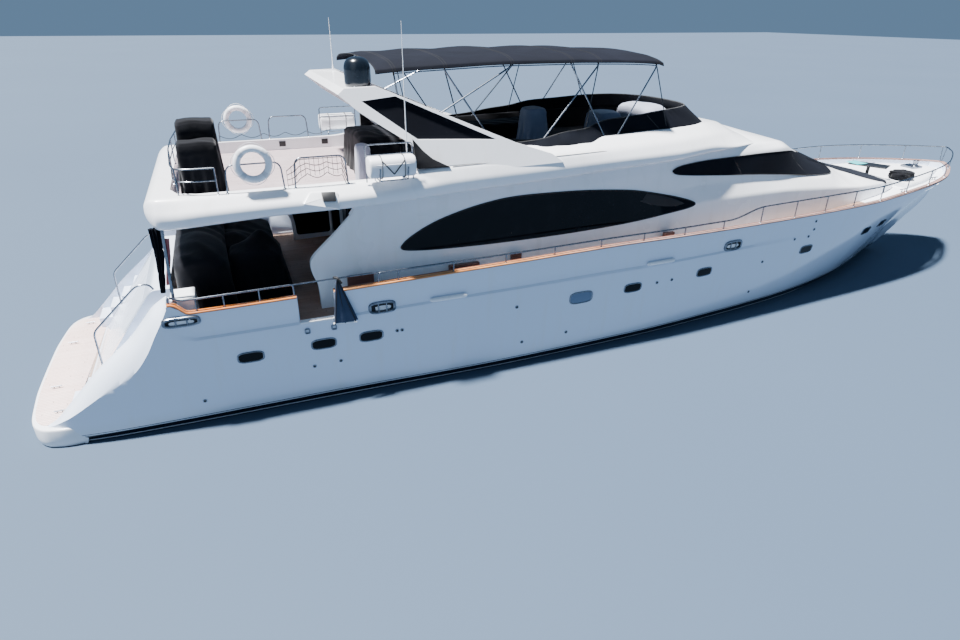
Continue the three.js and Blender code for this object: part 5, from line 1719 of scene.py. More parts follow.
    def doors(self) -> None:
        """The sliding doors' glass and frames, with flush pulls."""
        for name in SIDES:
            body = f"saloon_door_{name}"
            refine(body, GLASS, "dark_glass", 0.004, body)
            (x0, y0, z0), (x1, y1, z1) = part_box(body)
            back, front = x0 - 0.003, x1 + 0.004
            bars = Surface()
            bars.block((back, y0, z0), (front, y0 + 0.05, z1))
            bars.block((back, y1 - 0.05, z0), (front, y1, z1))
            bars.block((back, y0 + 0.05, z0), (front, y1 - 0.05, z0 + 0.07))
            bars.block((back, y0 + 0.05, z1 - 0.06), (front, y1 - 0.05, z1))
            inner = y0 + 0.09 if abs(y0) < abs(y1) else y1 - 0.09
            for a, b in ((back, x0), (x1, x1 + 0.02)):
                bars.block((a, inner - 0.02, 3.0), (b, inner + 0.02, 3.45))
            build(bars, f"{body}.frame", STAINLESS, "stainless", body=body, bevel=0.003)


@dataclass
class WheelhouseCover:
    """One black mesh cover over the wheelhouse windows and the windshield, with bound edges and wiper
    arms."""

    low: tuple[Point, ...] = (
        (0.31, 2.42, 4.50), (0.42, 2.42, 4.42), (0.60, 2.41, 4.385), (2.0, 2.37, 4.25), (3.55, 2.24, 4.12),
        (4.78, 2.12, 3.99), (5.8, 2.0, 3.87), (6.9, 1.82, 3.80), (7.3, 1.56, 3.76), (7.58, 1.15, 3.74),
        (7.80, 0.75, 3.73), (7.94, 0.35, 3.73), (7.98, 0.0, 3.73),
    )
    high: tuple[Point, ...] = (
        (0.31, 2.42, 4.51), (0.42, 2.40, 4.58), (0.70, 2.38, 4.64), (1.6, 2.30, 4.70), (3.3, 2.13, 4.71),
        (4.6, 1.95, 4.68), (5.3, 1.66, 4.60), (5.85, 1.33, 4.47), (6.25, 1.0, 4.38), (6.5, 0.72, 4.32),
        (6.68, 0.45, 4.28), (6.78, 0.2, 4.26), (6.8, 0.0, 4.26),
    )
    columns: int = 150
    rows: int = 20
    off: float = 0.022

    def build(self, shell: bpy.types.Object) -> None:
        """The cover: straight lines between its two edges, drawn onto the deckhouse and set off from it.

        Args:
            shell: the deckhouse.
        """
        low, high = (resample(np.array(c), self.columns, curved=True) for c in (self.low, self.high))
        low, high = (both_sides(c) for c in (low, high))
        t = np.linspace(0, 1, self.rows)[:, None, None]
        skin = Surface().sheet(low * (1 - t) + high * t)
        made = new_object("wheelhouse_cover", skin.mesh("wheelhouse_cover"))
        wrap = made.modifiers.new("onto", "SHRINKWRAP")
        wrap.target, wrap.wrap_method, wrap.wrap_mode, wrap.offset = (
            shell, "NEAREST_SURFACEPOINT", "OUTSIDE_SURFACE", self.off
        )
        applied(made)
        relax = made.modifiers.new("relax", "SMOOTH")
        relax.factor, relax.iterations = 0.5, 3
        applied(made)
        nodes = ("windshield", "wheelhouse_window_starboard", "wheelhouse_window_port")
        settle(made, SCREEN_MESH, "screen_mesh", *nodes, sharp=None, thickness=0.004)
        self.edges(made, low.shape[0])
        self.wipers()

    def edges(self, cover: bpy.types.Object, across_count: int) -> None:
        """The binding round the cover and the seams across it, swept along its own points.

        Args:
            cover: the sheet. across_count: its points in a row.
        """
        co = np.zeros(len(cover.data.vertices) * 3, np.float32)
        cover.data.vertices.foreach_get("co", co)
        p = co.reshape(self.rows, across_count, 3).astype(float)
        rim = np.concatenate([p[0, ::2], p[::3, -1], p[-1, ::-2]])
        seams = (44, 96, 132, across_count - 133, across_count - 97, across_count - 45)
        lines = [rim] + [p[::2, k] for k in seams]
        trim = Surface()
        for k, line in enumerate(lines):
            size = (0.007, 0.004) if k else (0.013, 0.009)
            trim.sweep(line, circle(8) * size, (0.3, 0.1, 1.0) if k else (0.15, 0.05, 1.0))
        build(trim, "wheelhouse_cover.binding", ROPE, "screen_mesh")

    def wipers(self) -> None:
        """Three wiper arms that rest on the cover's foot."""
        arms = Surface()
        for y0, y1, x0, x1, z0, z1 in (
            (-0.95, -1.22, 7.74, 6.46, 3.80, 4.18), (-0.05, -0.30, 8.02, 6.82, 3.79, 4.18),
            (0.95, 0.70, 7.74, 6.60, 3.80, 4.20),
        ):
            arms.tube([(x0, y0, z0), (x0 - 0.1, y0, z0 + 0.06), (x1, y1, z1 + 0.02)], 0.011, sides=8)
            arms.lathe([(0.035, -0.08), (0.035, 0.0), (0.02, 0.02)], (x0, y0, z0), 14)
        build(arms, "wipers", BLACK_PLASTIC, "black_plastic")


@dataclass
class Flybridge:
    """The flybridge deck with its coaming, planked sole, side vents and a painted shadow in each side's
    groove.
    """

    sections: Table = Table(
        "x lowY lowZ bulgeY bulgeZ edgeY edgeZ innerY innerZ",
        """
        -12400 2700 4500 2760 4720 2700 4990 2600 5000
        -12150 3060 4460 3110 4720 2950 5040 2850 5050
        -11400 3200 4500 3240 4760 2980 5050 2880 5060
        -9400 3200 4570 3240 4800 2980 5050 2880 5060
        -7850 3150 4570 3190 4810 2960 5060 2860 5070
        -6900 3070 4595 3110 4850 2920 5160 2650 5270
        -6100 3000 4620 3050 4880 2900 5240 2480 5420
        -3500 2900 4700 2950 4940 2830 5270 2420 5500
        -1500 2800 4780 2850 5000 2700 5290 2350 5560
        200 2700 4840 2740 5030 2550 5340 2200 5590
        1500 2450 4900 2500 5060 2250 5370 1850 5590
        2600 2200 4930 2210 4990 1750 5320 1200 5510
        3300 1980 4950 1970 4985 1300 5190 650 5300
        3800 1820 4900 1790 4950 900 5070 450 5125
        """,
    )
    deck: Table = Table(
        "x z halfY",
        """
        -11900 4760 2200
        -11760 4760 2600
        -11400 4760 2770
        -7850 4760 2750
        -6900 4760 2540
        -6600 4960 2470
        -6100 4960 2370
        -3500 4960 2310
        -1500 5000 2240
        200 5040 2090
        1250 5100 1800
        """,
    )
    names: tuple[str, ...] = ("low", "bulge", "edge", "inner")
    nose: float = 0.22
    sole: float = 4.76

    def shell(self) -> Surface:
        """Sections every 10 cm: flat soffit, bulged side, coaming and flat top, with rounded corners; over
        the last of the stern they shrink as a quarter circle."""
        x = np.concatenate(
            [
                -12.4 + self.nose * (1 - np.cos(np.linspace(0, math.pi / 2, 12))),
                np.linspace(-12.1, -11.4, 12),
                np.linspace(-11.3, 3.8, 152)
            ]
        )
        half = [stack(self.sections("lowY", x) - 0.5, self.sections("lowZ", x) - 0.02)]
        half += [stack(self.sections(n + "Y", x), self.sections(n + "Z", x)) for n in self.names]
        section = soften(across(np.stack(half, 1)), 0.11, 7)
        t = np.clip((x - x[0]) / self.nose, 0, 1)
        shrink = np.sqrt(1 - (1 - t) ** 2)[:, None]
        z = self.sole + (section[..., 1] - self.sole) * (0.3 + 0.7 * shrink)
        y = section[..., 0] * (0.955 + 0.045 * shrink)
        return Surface().grid(rings(x, stack(y, z)))

    def well(self) -> Surface:
        """The space inside the coaming, above the sole."""
        x = np.unique(np.concatenate([self.deck.x, np.linspace(-11.9, 1.25, 110)]))
        y, z = (self.deck.straight(c, x) for c in ("halfY", "z"))
        return Surface().trough(x, y, z, np.full_like(x, 6.6))

    def outer(self, x: Array, z: Array) -> Array:
        """The side's half breadth at places given by X and Z."""
        return self.sections.breadth(self.names, x, z)

    def build(self) -> None:
        """Shell and soles, then what is on their sides."""
        made = carve(self.shell(), [self.well()], "flybridge.shell")
        settle(made, SUPERSTRUCTURE, "superstructure", "flybridge", sharp=30)
        for name, x0, x1, planks in (("aft", -11.9, -6.92, FLY_TEAK), ("helm", -6.55, 1.2, HELM_TEAK_SHADED)):
            x = np.linspace(x0, x1, 80)
            y, z = self.deck.straight("halfY", x) - 0.004, self.deck.straight("z", x) + 0.006
            sole = Surface().trough(x, y, z - 0.01, z)
            build(sole, f"flybridge.sole.{name}", planks, "teak")
        self.vents()
        self.lining()

    def vents(self) -> None:
        """Louvres, wedges, a grey strip of painted shadow along each side's groove, and vents in the inner
        face.
        """
        dark, groove, white = Surface(), Surface(), Surface()
        for side in SIDES.values():
            lay = on_side(self.outer, side)
            louvre = np.array([[-9.05, 4.965], [-8.76, 4.955], [-8.78, 4.79], [-9.05, 4.81]])
            wedge = np.array([[-9.46, 4.79], [-9.27, 4.98], [-8.71, 4.965], [-8.70, 4.585]])
            dark.plate(soften(louvre, 0.02, 4, ring=True), [(0, 0.0), (0, 0.058), (0.01, 0.062)], lay)
            white.plate(
                soften(wedge, 0.05, 5, ring=True), [(0, -0.06), (0, 0.04), (0.008, 0.05), (0.02, 0.054)],
                lay
            )
            # A grey strip along each side's groove: painted shadow in the groove.
            x = np.linspace(-6.1, -1.25, 60)
            height = self.sections("edgeZ", x) - 0.022 - 0.05 * smooth(-2.2, -1.6, x)
            line = stack(x, side * (self.sections("edgeY", x) - 0.006), height)
            groove.sweep(line, strip(0.006, -0.012, 0.012), (0, side, 0.8))
            for vx in (-9.2, -8.02):
                dark.block((vx - 0.09, side * 2.765, 4.86), (vx + 0.09, side * 2.735, 5.0), 0.01)
        build(dark, "flybridge.vents", BLACK_PLASTIC, "black_plastic")
        build(groove, "flybridge.groove", Plastic("groove_shadow_painted", (150, 148, 146), 0.6), "black_plastic")
        build(white, "flybridge.wedges", SUPERSTRUCTURE, "superstructure", bevel=0.01)

    def lining(self) -> None:
        """Black strips just inside the helm well's walls: partly a black lining, partly painted shade."""
        liner = Surface()
        x = np.linspace(-6.0, 1.16, 70)
        y, z = self.deck.straight("halfY", x), self.deck.straight("z", x) + 0.01
        top = self.sections("innerZ", x) + 0.004
        for side in SIDES.values():
            places = (
                (0.002, z), (0.045, z), (0.055, top - 0.03), (0.04, top + 0.006), (-0.085, top + 0.006),
                (-0.085, top - 0.002), (0.002, top - 0.004)
            )
            section = np.stack([stack(side * (y - a), b) for a, b in places], 1)
            liner.grid(rings(x, section))
        build(liner, "flybridge.lining", BLACK_CLOTH, "black_cover", sharp=60)


@dataclass
class ScreenCover:
    """The cloth cover over the flybridge windscreen, in an aft and a forward part."""

    fly: Flybridge
    sides: tuple[tuple[float, float, float, float], ...] = (
        (-4.45, 0.06, 0.02, 0.0), (-4.1, 0.11, 0.06, 0.01), (-3.6, 0.22, 0.20, 0.02),
        (-3.0, 0.30, 0.26, 0.03), (-2.4, 0.33, 0.24, 0.05), (-1.7, 0.34, 0.15, 0.08),
        (-0.8, 0.37, 0.17, 0.13), (0.4, 0.43, 0.22, 0.24), (1.3, 0.45, 0.23, 0.40),
    )
    front_foot: tuple[Point, ...] = ((1.96, 1.33, 5.575), (2.20, 0.70, 5.57), (2.26, 0.0, 5.57))
    front_head: tuple[Point, ...] = ((1.42, 1.13, 6.03), (1.58, 0.60, 6.03), (1.62, 0.0, 6.03))
    thick: float = 0.02
    drop: float = 0.24

    def build(self) -> None:
        """A doubled cloth between foot and head lines, bellied between its ends, with a round bound edge."""
        x, rise, lean, rake = np.array(self.sides).T
        out = self.drop * smooth(-4.3, -3.8, x) * (1 - smooth(-2.5, -1.7, x))
        y = self.fly.sections("innerY", x) - 0.076 + out
        z = self.fly.sections("innerZ", x) - 0.004 - 0.5 * out
        foot = np.concatenate([stack(x, y, z), np.array(self.front_foot)])
        head = np.concatenate([stack(x - rake, y - lean, z + rise), np.array(self.front_head)])
        foot, head = (resample(c, 110, curved=True) for c in (foot, head))
        foot, head = (both_sides(c) for c in (foot, head))
        t = np.linspace(0, 1, 12)[:, None, None]
        p = foot * (1 - t) + head * t
        s = distance(foot)
        flow = unit(np.gradient(foot, axis=0))
        out = unit(np.stack([-flow[:, 1], flow[:, 0], 0 * s], 1)) * -1
        out = np.where((out * (foot - np.array([-1.5, 0, 0]))).sum(1, keepdims=True) < 0, -out, out)
        belly = (
            np.sin(math.pi * t[..., 0]) * (0.012 * waves(3, s, 6, 3.0, 12.0))
            + 0.006 * waves(4, s, 5, 20.0, 34.0) * t[..., 0]
        )
        p = p + belly[..., None] * out
        front, back = p + 0.5 * self.thick * out, p - 0.5 * self.thick * out
        ring = np.concatenate([front, back[::-1]], axis=0).transpose(1, 0, 2)
        cloth = Surface().grid(ring)
        made = build(cloth, "windscreen_cover", SCREEN_MESH, "screen_mesh", "flybridge_windscreen", sharp=60)
        area = 0.5 * cloth.area()
        trim = Surface()
        trim.sweep(p[-1, ::2], circle(8, 0.014), (0, 0, 1))
        for k in (60, len(s) - 61):
            trim.sweep(p[::2, k] + 0.008 * out[k], circle(8, 0.010))
        build(trim, "windscreen_cover.binding", ROPE, "screen_mesh")


@dataclass
class Arch:
    """The radar arch with side panels, the satellite dome and the aerials."""

    dome_at: Point = (-7.89, -2.0, 6.82)
    dome: tuple[Spot, ...] = (
        (0.262, 0.07), (0.272, 0.085), (0.279, 0.11), (0.281, 0.16), (0.281, 0.38), (0.278, 0.43),
        (0.268, 0.48), (0.25, 0.53), (0.222, 0.57), (0.185, 0.602), (0.14, 0.624), (0.09, 0.636),
        (0.04, 0.640), (0.0, 0.640),
    )
    aerial_at: Point = (-7.13, -2.89, 5.0)
    whip: tuple[Spot, ...] = (
        (0.03, 0.0), (0.03, 0.16), (0.018, 0.2), (0.012, 0.6), (0.011, 1.6), (0.007, 2.6), (0.0045, 3.15),
    )
    port_whip_at: Point = (-7.66, 2.35, 6.86)
    port_whip: tuple[Spot, ...] = ((0.025, 0.0), (0.025, 0.1), (0.011, 0.16), (0.009, 0.8), (0.006, 1.3))

    def build(self) -> None:
        """Arch, panels, dome on its white foot, and whips."""
        refine("radar_arch", SUPERSTRUCTURE, "superstructure", 0.035)
        for name in SIDES:
            refine(f"arch_panel_{name}", PANEL, "navy_panel", 0.006)
        top = Surface().lathe([(0.0, 0.066), *self.dome], self.dome_at, 48)
        build(top, "dome.cover", DOME_PLASTIC, "black_plastic", "satellite_dome", sharp=50)
        foot = Surface().lathe(
            [(0.0, 0.0), (0.235, 0.0), (0.245, 0.01), (0.238, 0.06), (0.25, 0.072), (0.0, 0.072)],
            self.dome_at, 40
        )
        for x, y in circle(6, 0.262):
            lug = np.array(self.dome_at) + (x, y, 0.055)
            foot.block(lug - (0.012, 0.012, 0.025), lug + (0.012, 0.012, 0.025))
        build(foot, "dome.foot", WHITE_PLASTIC, "white_plastic", sharp=50)
        whip = Surface().lathe(self.whip, self.aerial_at, 10)
        build(whip, "aerial.whip", WHITE_PLASTIC, "white_plastic", "aerial", sharp=50)
        base = Surface().lathe(
            [
                (0.036, 0.0), (0.036, 0.05), (0.024, 0.09), (0.024, 0.14), (0.034, 0.15), (0.034, 0.2),
                (0.02, 0.24)
            ], (-7.13, -2.89, 5.01), 16
        )
        build(base, "aerial.base", STAINLESS, "stainless")
        self.gussets()

    def gussets(self) -> None:
        """The black cloth that closes the corner between each leg's foot and the coaming."""
        outline = np.array(
            [[-6.95, 5.84], [-6.93, 5.24], [-6.16, 5.22], [-6.3, 5.29], [-6.55, 5.42], [-6.75, 5.60]]
        )
        black = Surface()
        for side in SIDES.values():
            lay = on_side(lambda u, v: 2.905 - 0.30 * (v - 5.3), side)
            black.plate(outline, [(0, -0.10), (0, 0.012), (0.004, 0.016)], lay)
        build(black, "arch.gussets", BLACK_CLOTH, "black_cover", sharp=40)
        whip = Surface().lathe(self.port_whip, self.port_whip_at, 10)
        build(whip, "aerial.port_whip", WHITE_PLASTIC, "white_plastic", sharp=50)


@dataclass
class FlyRails:
    """Hoop rails, stern rail, overhang poles, life rings, raft canisters with cradles, and nets."""

    hoops: tuple[Point, ...] = ((-10.83, -9.73, 5.60), (-9.52, -8.44, 5.65))
    hoop_y: float = 2.93
    stern: tuple[Spot, ...] = ((-11.0, 2.93), (-11.52, 2.90), (-11.72, 2.78), (-11.80, 2.40), (-11.90, 0.60))
    stern_posts: tuple[Spot, ...] = ((-11.0, 2.93), (-11.72, 2.78), (-11.85, 1.5), (-11.9, 0.6))
    raft: Point = (-7.56, 3.18, 5.4016)
    ring_at: Point = (-10.28, 3.0177, 5.61)
    radius: float = 0.0165

    def rails(self) -> None:
        """Hoops and cradles on each side."""
        for name, side in SIDES.items():
            rail = Surface()
            y = side * self.hoop_y
            for x0, x1, top in self.hoops:
                half = ((0.0, 5.05), (0.03, top - 0.09), (0.11, top))
                hoop = [(x0 + a, y, z) for a, z in half] + [(x1 - a, y, z) for a, z in half[::-1]]
                rail.tube(hoop, self.radius, 0.07, 12)
                for x in (x0, x1):
                    rail.flange((x, y, 5.05))
            for x in (-7.86, -7.26):
                cradle = ((2.90, 5.03), (2.96, 5.15), (3.38, 5.15), (3.45, 5.42))
                rail.tube([(x, side * y, z) for y, z in cradle], 0.014, 0.05)
            for yy in (2.98, 3.36):
                rail.tube([(-7.88, side * yy, 5.148), (-7.24, side * yy, 5.148)], 0.012)
            guard = ((-8.06, 3.02, 5.06), (-8.06, 3.0, 5.83), (-7.04, 3.0, 5.83), (-7.04, 3.02, 5.06))
            rail.tube([(x, side * y, z) for x, y, z in guard], 0.014, 0.08)
            rail.tube([(-8.06, side * 3.01, 5.62), (-7.04, side * 3.01, 5.62)], 0.011)
            build(rail, f"flybridge_rail.{name}", STAINLESS, "stainless", f"flybridge_rail_{name}")

    def stern_rail(self) -> None:
        """Two levels of rail round the stern, on posts."""
        rail = Surface()
        half = np.array(self.stern)
        plan = np.concatenate([half * np.array([1, -1]), half[::-1]])
        for top, r in ((5.57, self.radius), (5.33, 0.0125)):
            rail.tube(stack(plan[:, 0], plan[:, 1], np.full(len(plan), top)), r, 0.11, 10)
        for x, y in self.stern_posts:
            for s in SIDES.values():
                foot = 5.04 if abs(y) > 2.5 else 5.0
                rail.tube([(x, s * y, foot), (x, s * y, 5.57)], 0.014, sides=8)
                rail.flange((x, s * y, foot), 14, 0.014)
        build(rail, "flybridge_rail.aft", STAINLESS, "stainless", "flybridge_rail_aft")

    def poles(self) -> None:
        """The poles under the overhang."""
        for name, side in SIDES.items():
            pole = Surface().tube([(-12.2, side * 3.15, 2.70), (-12.12, side * 2.95, 4.70)], 0.032, sides=20)
            pole.lathe([(0.06, 0), (0.06, 0.01), (0.04, 0.03)], (-12.19, side * 3.145, 2.98), 20)
            build(pole, f"overhang_pole.{name}", STAINLESS, "stainless", f"overhang_pole_{name}")

    @staticmethod
    def swell(a: Array) -> Array:
        """How far a squared circle reaches at an angle."""
        return (np.abs(np.cos(a)) ** 3.2 + np.abs(np.sin(a)) ** 3.2) ** (-1 / 3.2)

    def rafts(self) -> None:
        """Canisters turned about X with a seam flange and straps."""
        x, y, z = self.raft
        r = 0.232
        profile = [
            (0, -0.5), (0.17, -0.499), (0.205, -0.492), (0.225, -0.476), (r, -0.45), (r, 0.45),
            (0.225, 0.476), (0.205, 0.492), (0.17, 0.499), (0, 0.5)
        ]
        for name, side in SIDES.items():
            can = Surface().lathe(profile, (0, 0, 0), 40, Axis.X)
            flesh = can.points[0]
            angle = np.arctan2(flesh[:, 2], flesh[:, 1])
            full = self.swell(angle)
            squared = flesh * np.stack([0 * full + 1, full, full], 1)
            can.points[0] = squared * np.array([1, 0.97, 0.94]) + np.array([x, side * y, z])
            turn = np.linspace(0, 2 * math.pi, 48, endpoint=False)
            lip = 0.5 * stack(power(np.cos(turn), 0.35), power(np.sin(turn), 0.35))
            lip = lip * np.array([1.0, 0.462]) + np.array([x, side * y])
            can.plate(lip, [(0.02, z + 0.055), (0, z + 0.062), (0, z + 0.078), (0.02, z + 0.085)], level)
            build(
                can, f"liferaft.{name}.canister", WHITE_PLASTIC, "white_plastic", f"liferaft_{name}",
                sharp=50
            )
            straps = Surface()
            for offset in (-0.24, 0.24):
                a = np.linspace(0, 2 * math.pi, 49)
                full = self.swell(a) * (r + 0.004)
                strap = stack(x + offset, side * y + 0.97 * full * np.cos(a), z + 0.94 * full * np.sin(a))
                straps.sweep(strap, strip(0.022, -0.005, 0.005), (1, 0, 0))
            for offset in (-0.24, 0.24):
                near = side * (y + 0.243)
                drop = np.array([[x + offset, near, z + 0.16], [x, near, z - 0.12]])
                straps.sweep(drop, strip(0.012, -0.004, 0.004), (0, side, 0))
            build(straps, f"liferaft.{name}.straps", ROPE, "black_cover")

    def rings(self) -> None:
        """Life rings: a round section carried about a circle, four bands, and a grab line."""
        x, y, z = self.ring_at
        turn = np.linspace(0, 2 * math.pi, 48, endpoint=False)
        small = np.linspace(0, 2 * math.pi, 20, endpoint=False)

        def part(angles: Array, thick: float, closed: bool, side: float) -> Surface:
            """An arc of the ring."""
            radius = 0.30 + thick * np.cos(small)[None]
            p = stack(
                x + radius * np.cos(angles)[:, None], side * y + thick * np.sin(small)[None],
                z + radius * np.sin(angles)[:, None]
            )
            return Surface().add(p, [quads(p, closed=True)]) if closed else Surface().grid(p)

        for name, side in SIDES.items():
            build(
                part(turn, 0.073, True, side), f"life_ring.{name}.body", WHITE_PLASTIC, "white_plastic",
                f"life_ring_{name}", sharp=None
            )
            bands, line = Surface(), Surface()
            for k in range(4):
                a = (k + 0.5) * math.pi / 2
                arc = part(np.linspace(a - 0.16, a + 0.16, 9), 0.0765, False, side)
                bands.add(arc.points[0], arc.faces)
                b = np.linspace(a + 0.16, a + math.pi / 2 - 0.16, 14)
                slack = 0.382 + 0.03 * np.sin(np.linspace(0, math.pi, 14))
                line.tube(
                    stack(x + slack * np.cos(b), np.full(14, side * y), z + slack * np.sin(b)), 0.006, 0, 6
                )
            build(bands, f"life_ring.{name}.bands", PALE_CLOTH, "white_plastic", sharp=60)
            build(line, f"life_ring.{name}.line", PALE_CLOTH, "white_plastic", sharp=60)

    def nets(self) -> None:
        """Black lines hung in bights from the second hoop and along the port rail."""
        net = Surface()
        x = np.linspace(-9.66, -8.45, 40)
        top = np.interp(x, [-9.66, -9.49, -9.4, -8.55, -8.45], [5.43, 5.56, 5.64, 5.64, 5.27])
        for depth, wave in ((0.10, 0.09), (0.2, 0.12), (0.31, 0.16)):
            z = top - depth - wave * np.abs(np.sin(np.linspace(0, 3 * math.pi, 40))) * 0.6
            net.tube(stack(x, np.full(40, -2.945), z), 0.008, 0, 6)
        for k in range(0, 40, 3):
            net.tube([(x[k], -2.945, top[k]), (x[k], -2.945, top[k] - 0.36)], 0.005, sides=5)
        net.tube(stack(x, np.full(40, -2.945), top - 0.02), 0.008, 0, 6)
        xp = np.linspace(-10.84, -7.9, 60)
        zp = 5.22 - 0.10 * np.abs(np.sin(np.linspace(0, 5 * math.pi, 60)))
        net.tube(stack(xp, np.full(60, 2.93), zp), 0.008, 0, 6)
        build(net, "flybridge.nets", ROPE, "black_cover")

    def build(self) -> None:
        """Everything on the flybridge's edge."""
        self.rails()
        self.stern_rail()
        self.poles()
        self.rafts()
        self.rings()
        self.nets()


@dataclass
class Bimini:
    """The canvas roof on its bent bows."""

    rows: Table = Table(
        "x skirtZ edgeZ shoulderZ crownZ",
        """
        -7550 7120 7200 7330 7390
        -7150 7150 7230 7370 7430
        -6000 7200 7280 7420 7480
        -4400 7250 7325 7460 7515
        -2850 7250 7325 7460 7515
        -2100 7240 7310 7450 7505
        -420 7170 7240 7370 7430
        -280 7130 7200 7330 7390
        """,
    )
    bows: tuple[tuple[float, float, float, bool], ...] = (
        (-7.15, -7.15, 6.695, True), (-6.0, -4.7, 5.30, False), (-4.4, -6.25, 6.31, True),
        (-2.85, -1.72, 5.30, False),
        (-2.1, -3.81, 5.30, False), (-0.42, -1.64, 5.30, False),
    )
    skirt_y: float = 2.25
    sag: float = 0.045
    stays: tuple[tuple[Point, Point], ...] = (
        ((-0.42, 2.16, 7.15), (0.15, 2.12, 5.65)), ((-2.1, 2.16, 7.2), (-2.45, 2.32, 5.55)),
        ((-6.0, 2.16, 7.18), (-5.6, 2.38, 5.5)),
    )

    def surface(self, x: Array, v: Array) -> Array:
        """The canvas: straight between bows, but sagging as the square of a sine.

        Args:
            x: stations. v: places across, from -1 at the starboard skirt to 1 at the port.
        Returns: points, a row for each station.
        """
        knots = np.array([-1.0, -0.965, -0.66, 0.0, 0.66, 0.965, 1.0])
        ys = np.array([-self.skirt_y, -2.21, -1.5, 0.0, 1.5, 2.21, self.skirt_y])
        names = ("skirtZ", "edgeZ", "shoulderZ", "crownZ", "shoulderZ", "edgeZ", "skirtZ")
        zs = np.stack([self.rows(c, x) for c in names], 1)
        y = np.interp(v, knots, ys)
        z = monotone(knots, zs, v)
        marks = np.array([-7.55] + [b[0] for b in self.bows] + [-0.28])
        i = np.clip(np.searchsorted(marks, x, side="right") - 1, 0, len(marks) - 2)
        t = (x - marks[i]) / (marks[i + 1] - marks[i])
        span = np.minimum(marks[i + 1] - marks[i], 1.7) / 1.7
        dip = (self.sag * span * np.sin(math.pi * t) ** 2)[:, None]
        flat = 1 - np.abs(v) ** 6
        swing = waves(8, v[None] * 9 + x[:, None] * 3.1, 7, 0.6, 2.4)
        pull = 0.008 * swing * (np.sin(math.pi * t) ** 2)[:, None]
        inward = dip * 0.6 * (np.abs(v) > 0.96)
        return stack(x[:, None], y[None] - np.sign(v)[None] * inward, z - dip * flat - pull * flat)

    def build(self) -> None:
        """Canvas and seams, then the frame."""
        x = np.linspace(-7.55, -0.28, 190)
        v = np.concatenate(
            [np.linspace(-1, -0.965, 6)[:-1], np.linspace(-0.965, 0.965, 71), np.linspace(0.965, 1, 6)[1:]]
        )
        p = self.surface(x, v)
        cloth = Surface().sheet(p, turned=True)
        made = build(
            cloth, "bimini.canvas", CANVAS, "navy_canvas", "bimini_canvas", sharp=None, thickness=0.004
        )
        seams = Surface()
        hem = strip(0.014, 0.0, 0.007)
        for sx, *_ in self.bows:
            for offset in (-0.03, 0.03):
                line = self.surface(np.array([sx + offset]), v)[0]
                seams.sweep(line, strip(0.006, 0.002, 0.007), (0, 0.001, 1))
        for edge in (0, -1):
            seams.sweep(p[::2, edge], hem * np.array([0.4, 1.4]), (0, 0, 1))
            seams.sweep(p[edge, :], hem, (0, 0.001, 1))
        build(seams, "bimini.seams", BLACK_CLOTH, "navy_canvas", sharp=60)
        self.frame()

    def frame(self) -> None:
        """The bows, the bars that join them and the webbing that holds them down."""
        frame_tubes, webs = Surface(), Surface()
        for top, foot, foot_z, on_arch in self.bows:
            skirt, shoulder, crown = (self.rows.at(c, top) for c in ("skirtZ", "shoulderZ", "crownZ"))
            foot_y = 2.825 - (foot_z - 5.2) * 0.27 if on_arch else 2.34
            bend = [
                [2.176, skirt - 0.04], [2.10, skirt + 0.045], [1.5, shoulder - 0.03], [0.0, crown - 0.025]
            ]
            half = np.array([[foot, foot_y, foot_z], *([top, *place] for place in bend)])
            frame_tubes.tube(both_sides(half), 0.019, 0.10, 10)
            for s in SIDES.values():
                frame_tubes.lathe([(0.03, -0.01), (0.03, 0.02), (0.02, 0.05)], (foot, s * foot_y, foot_z), 12)
        for s in SIDES.values():
            x = np.linspace(-7.15, -0.42, 30)
            frame_tubes.tube(stack(x, np.full(30, s * 2.176), self.rows("skirtZ", x) - 0.031), 0.0125, 0, 8)
            for a, b in self.stays:
                path = np.array([(a[0], s * a[1], a[2]), (b[0], s * b[1], b[2])])
                webs.sweep(path, strip(0.014, -0.0015, 0.0015), (0, s, 0.1))
        build(frame_tubes, "bimini.frame", STAINLESS, "stainless", "bimini_frame")
        build(webs, "bimini.webbing", ROPE, "navy_canvas")


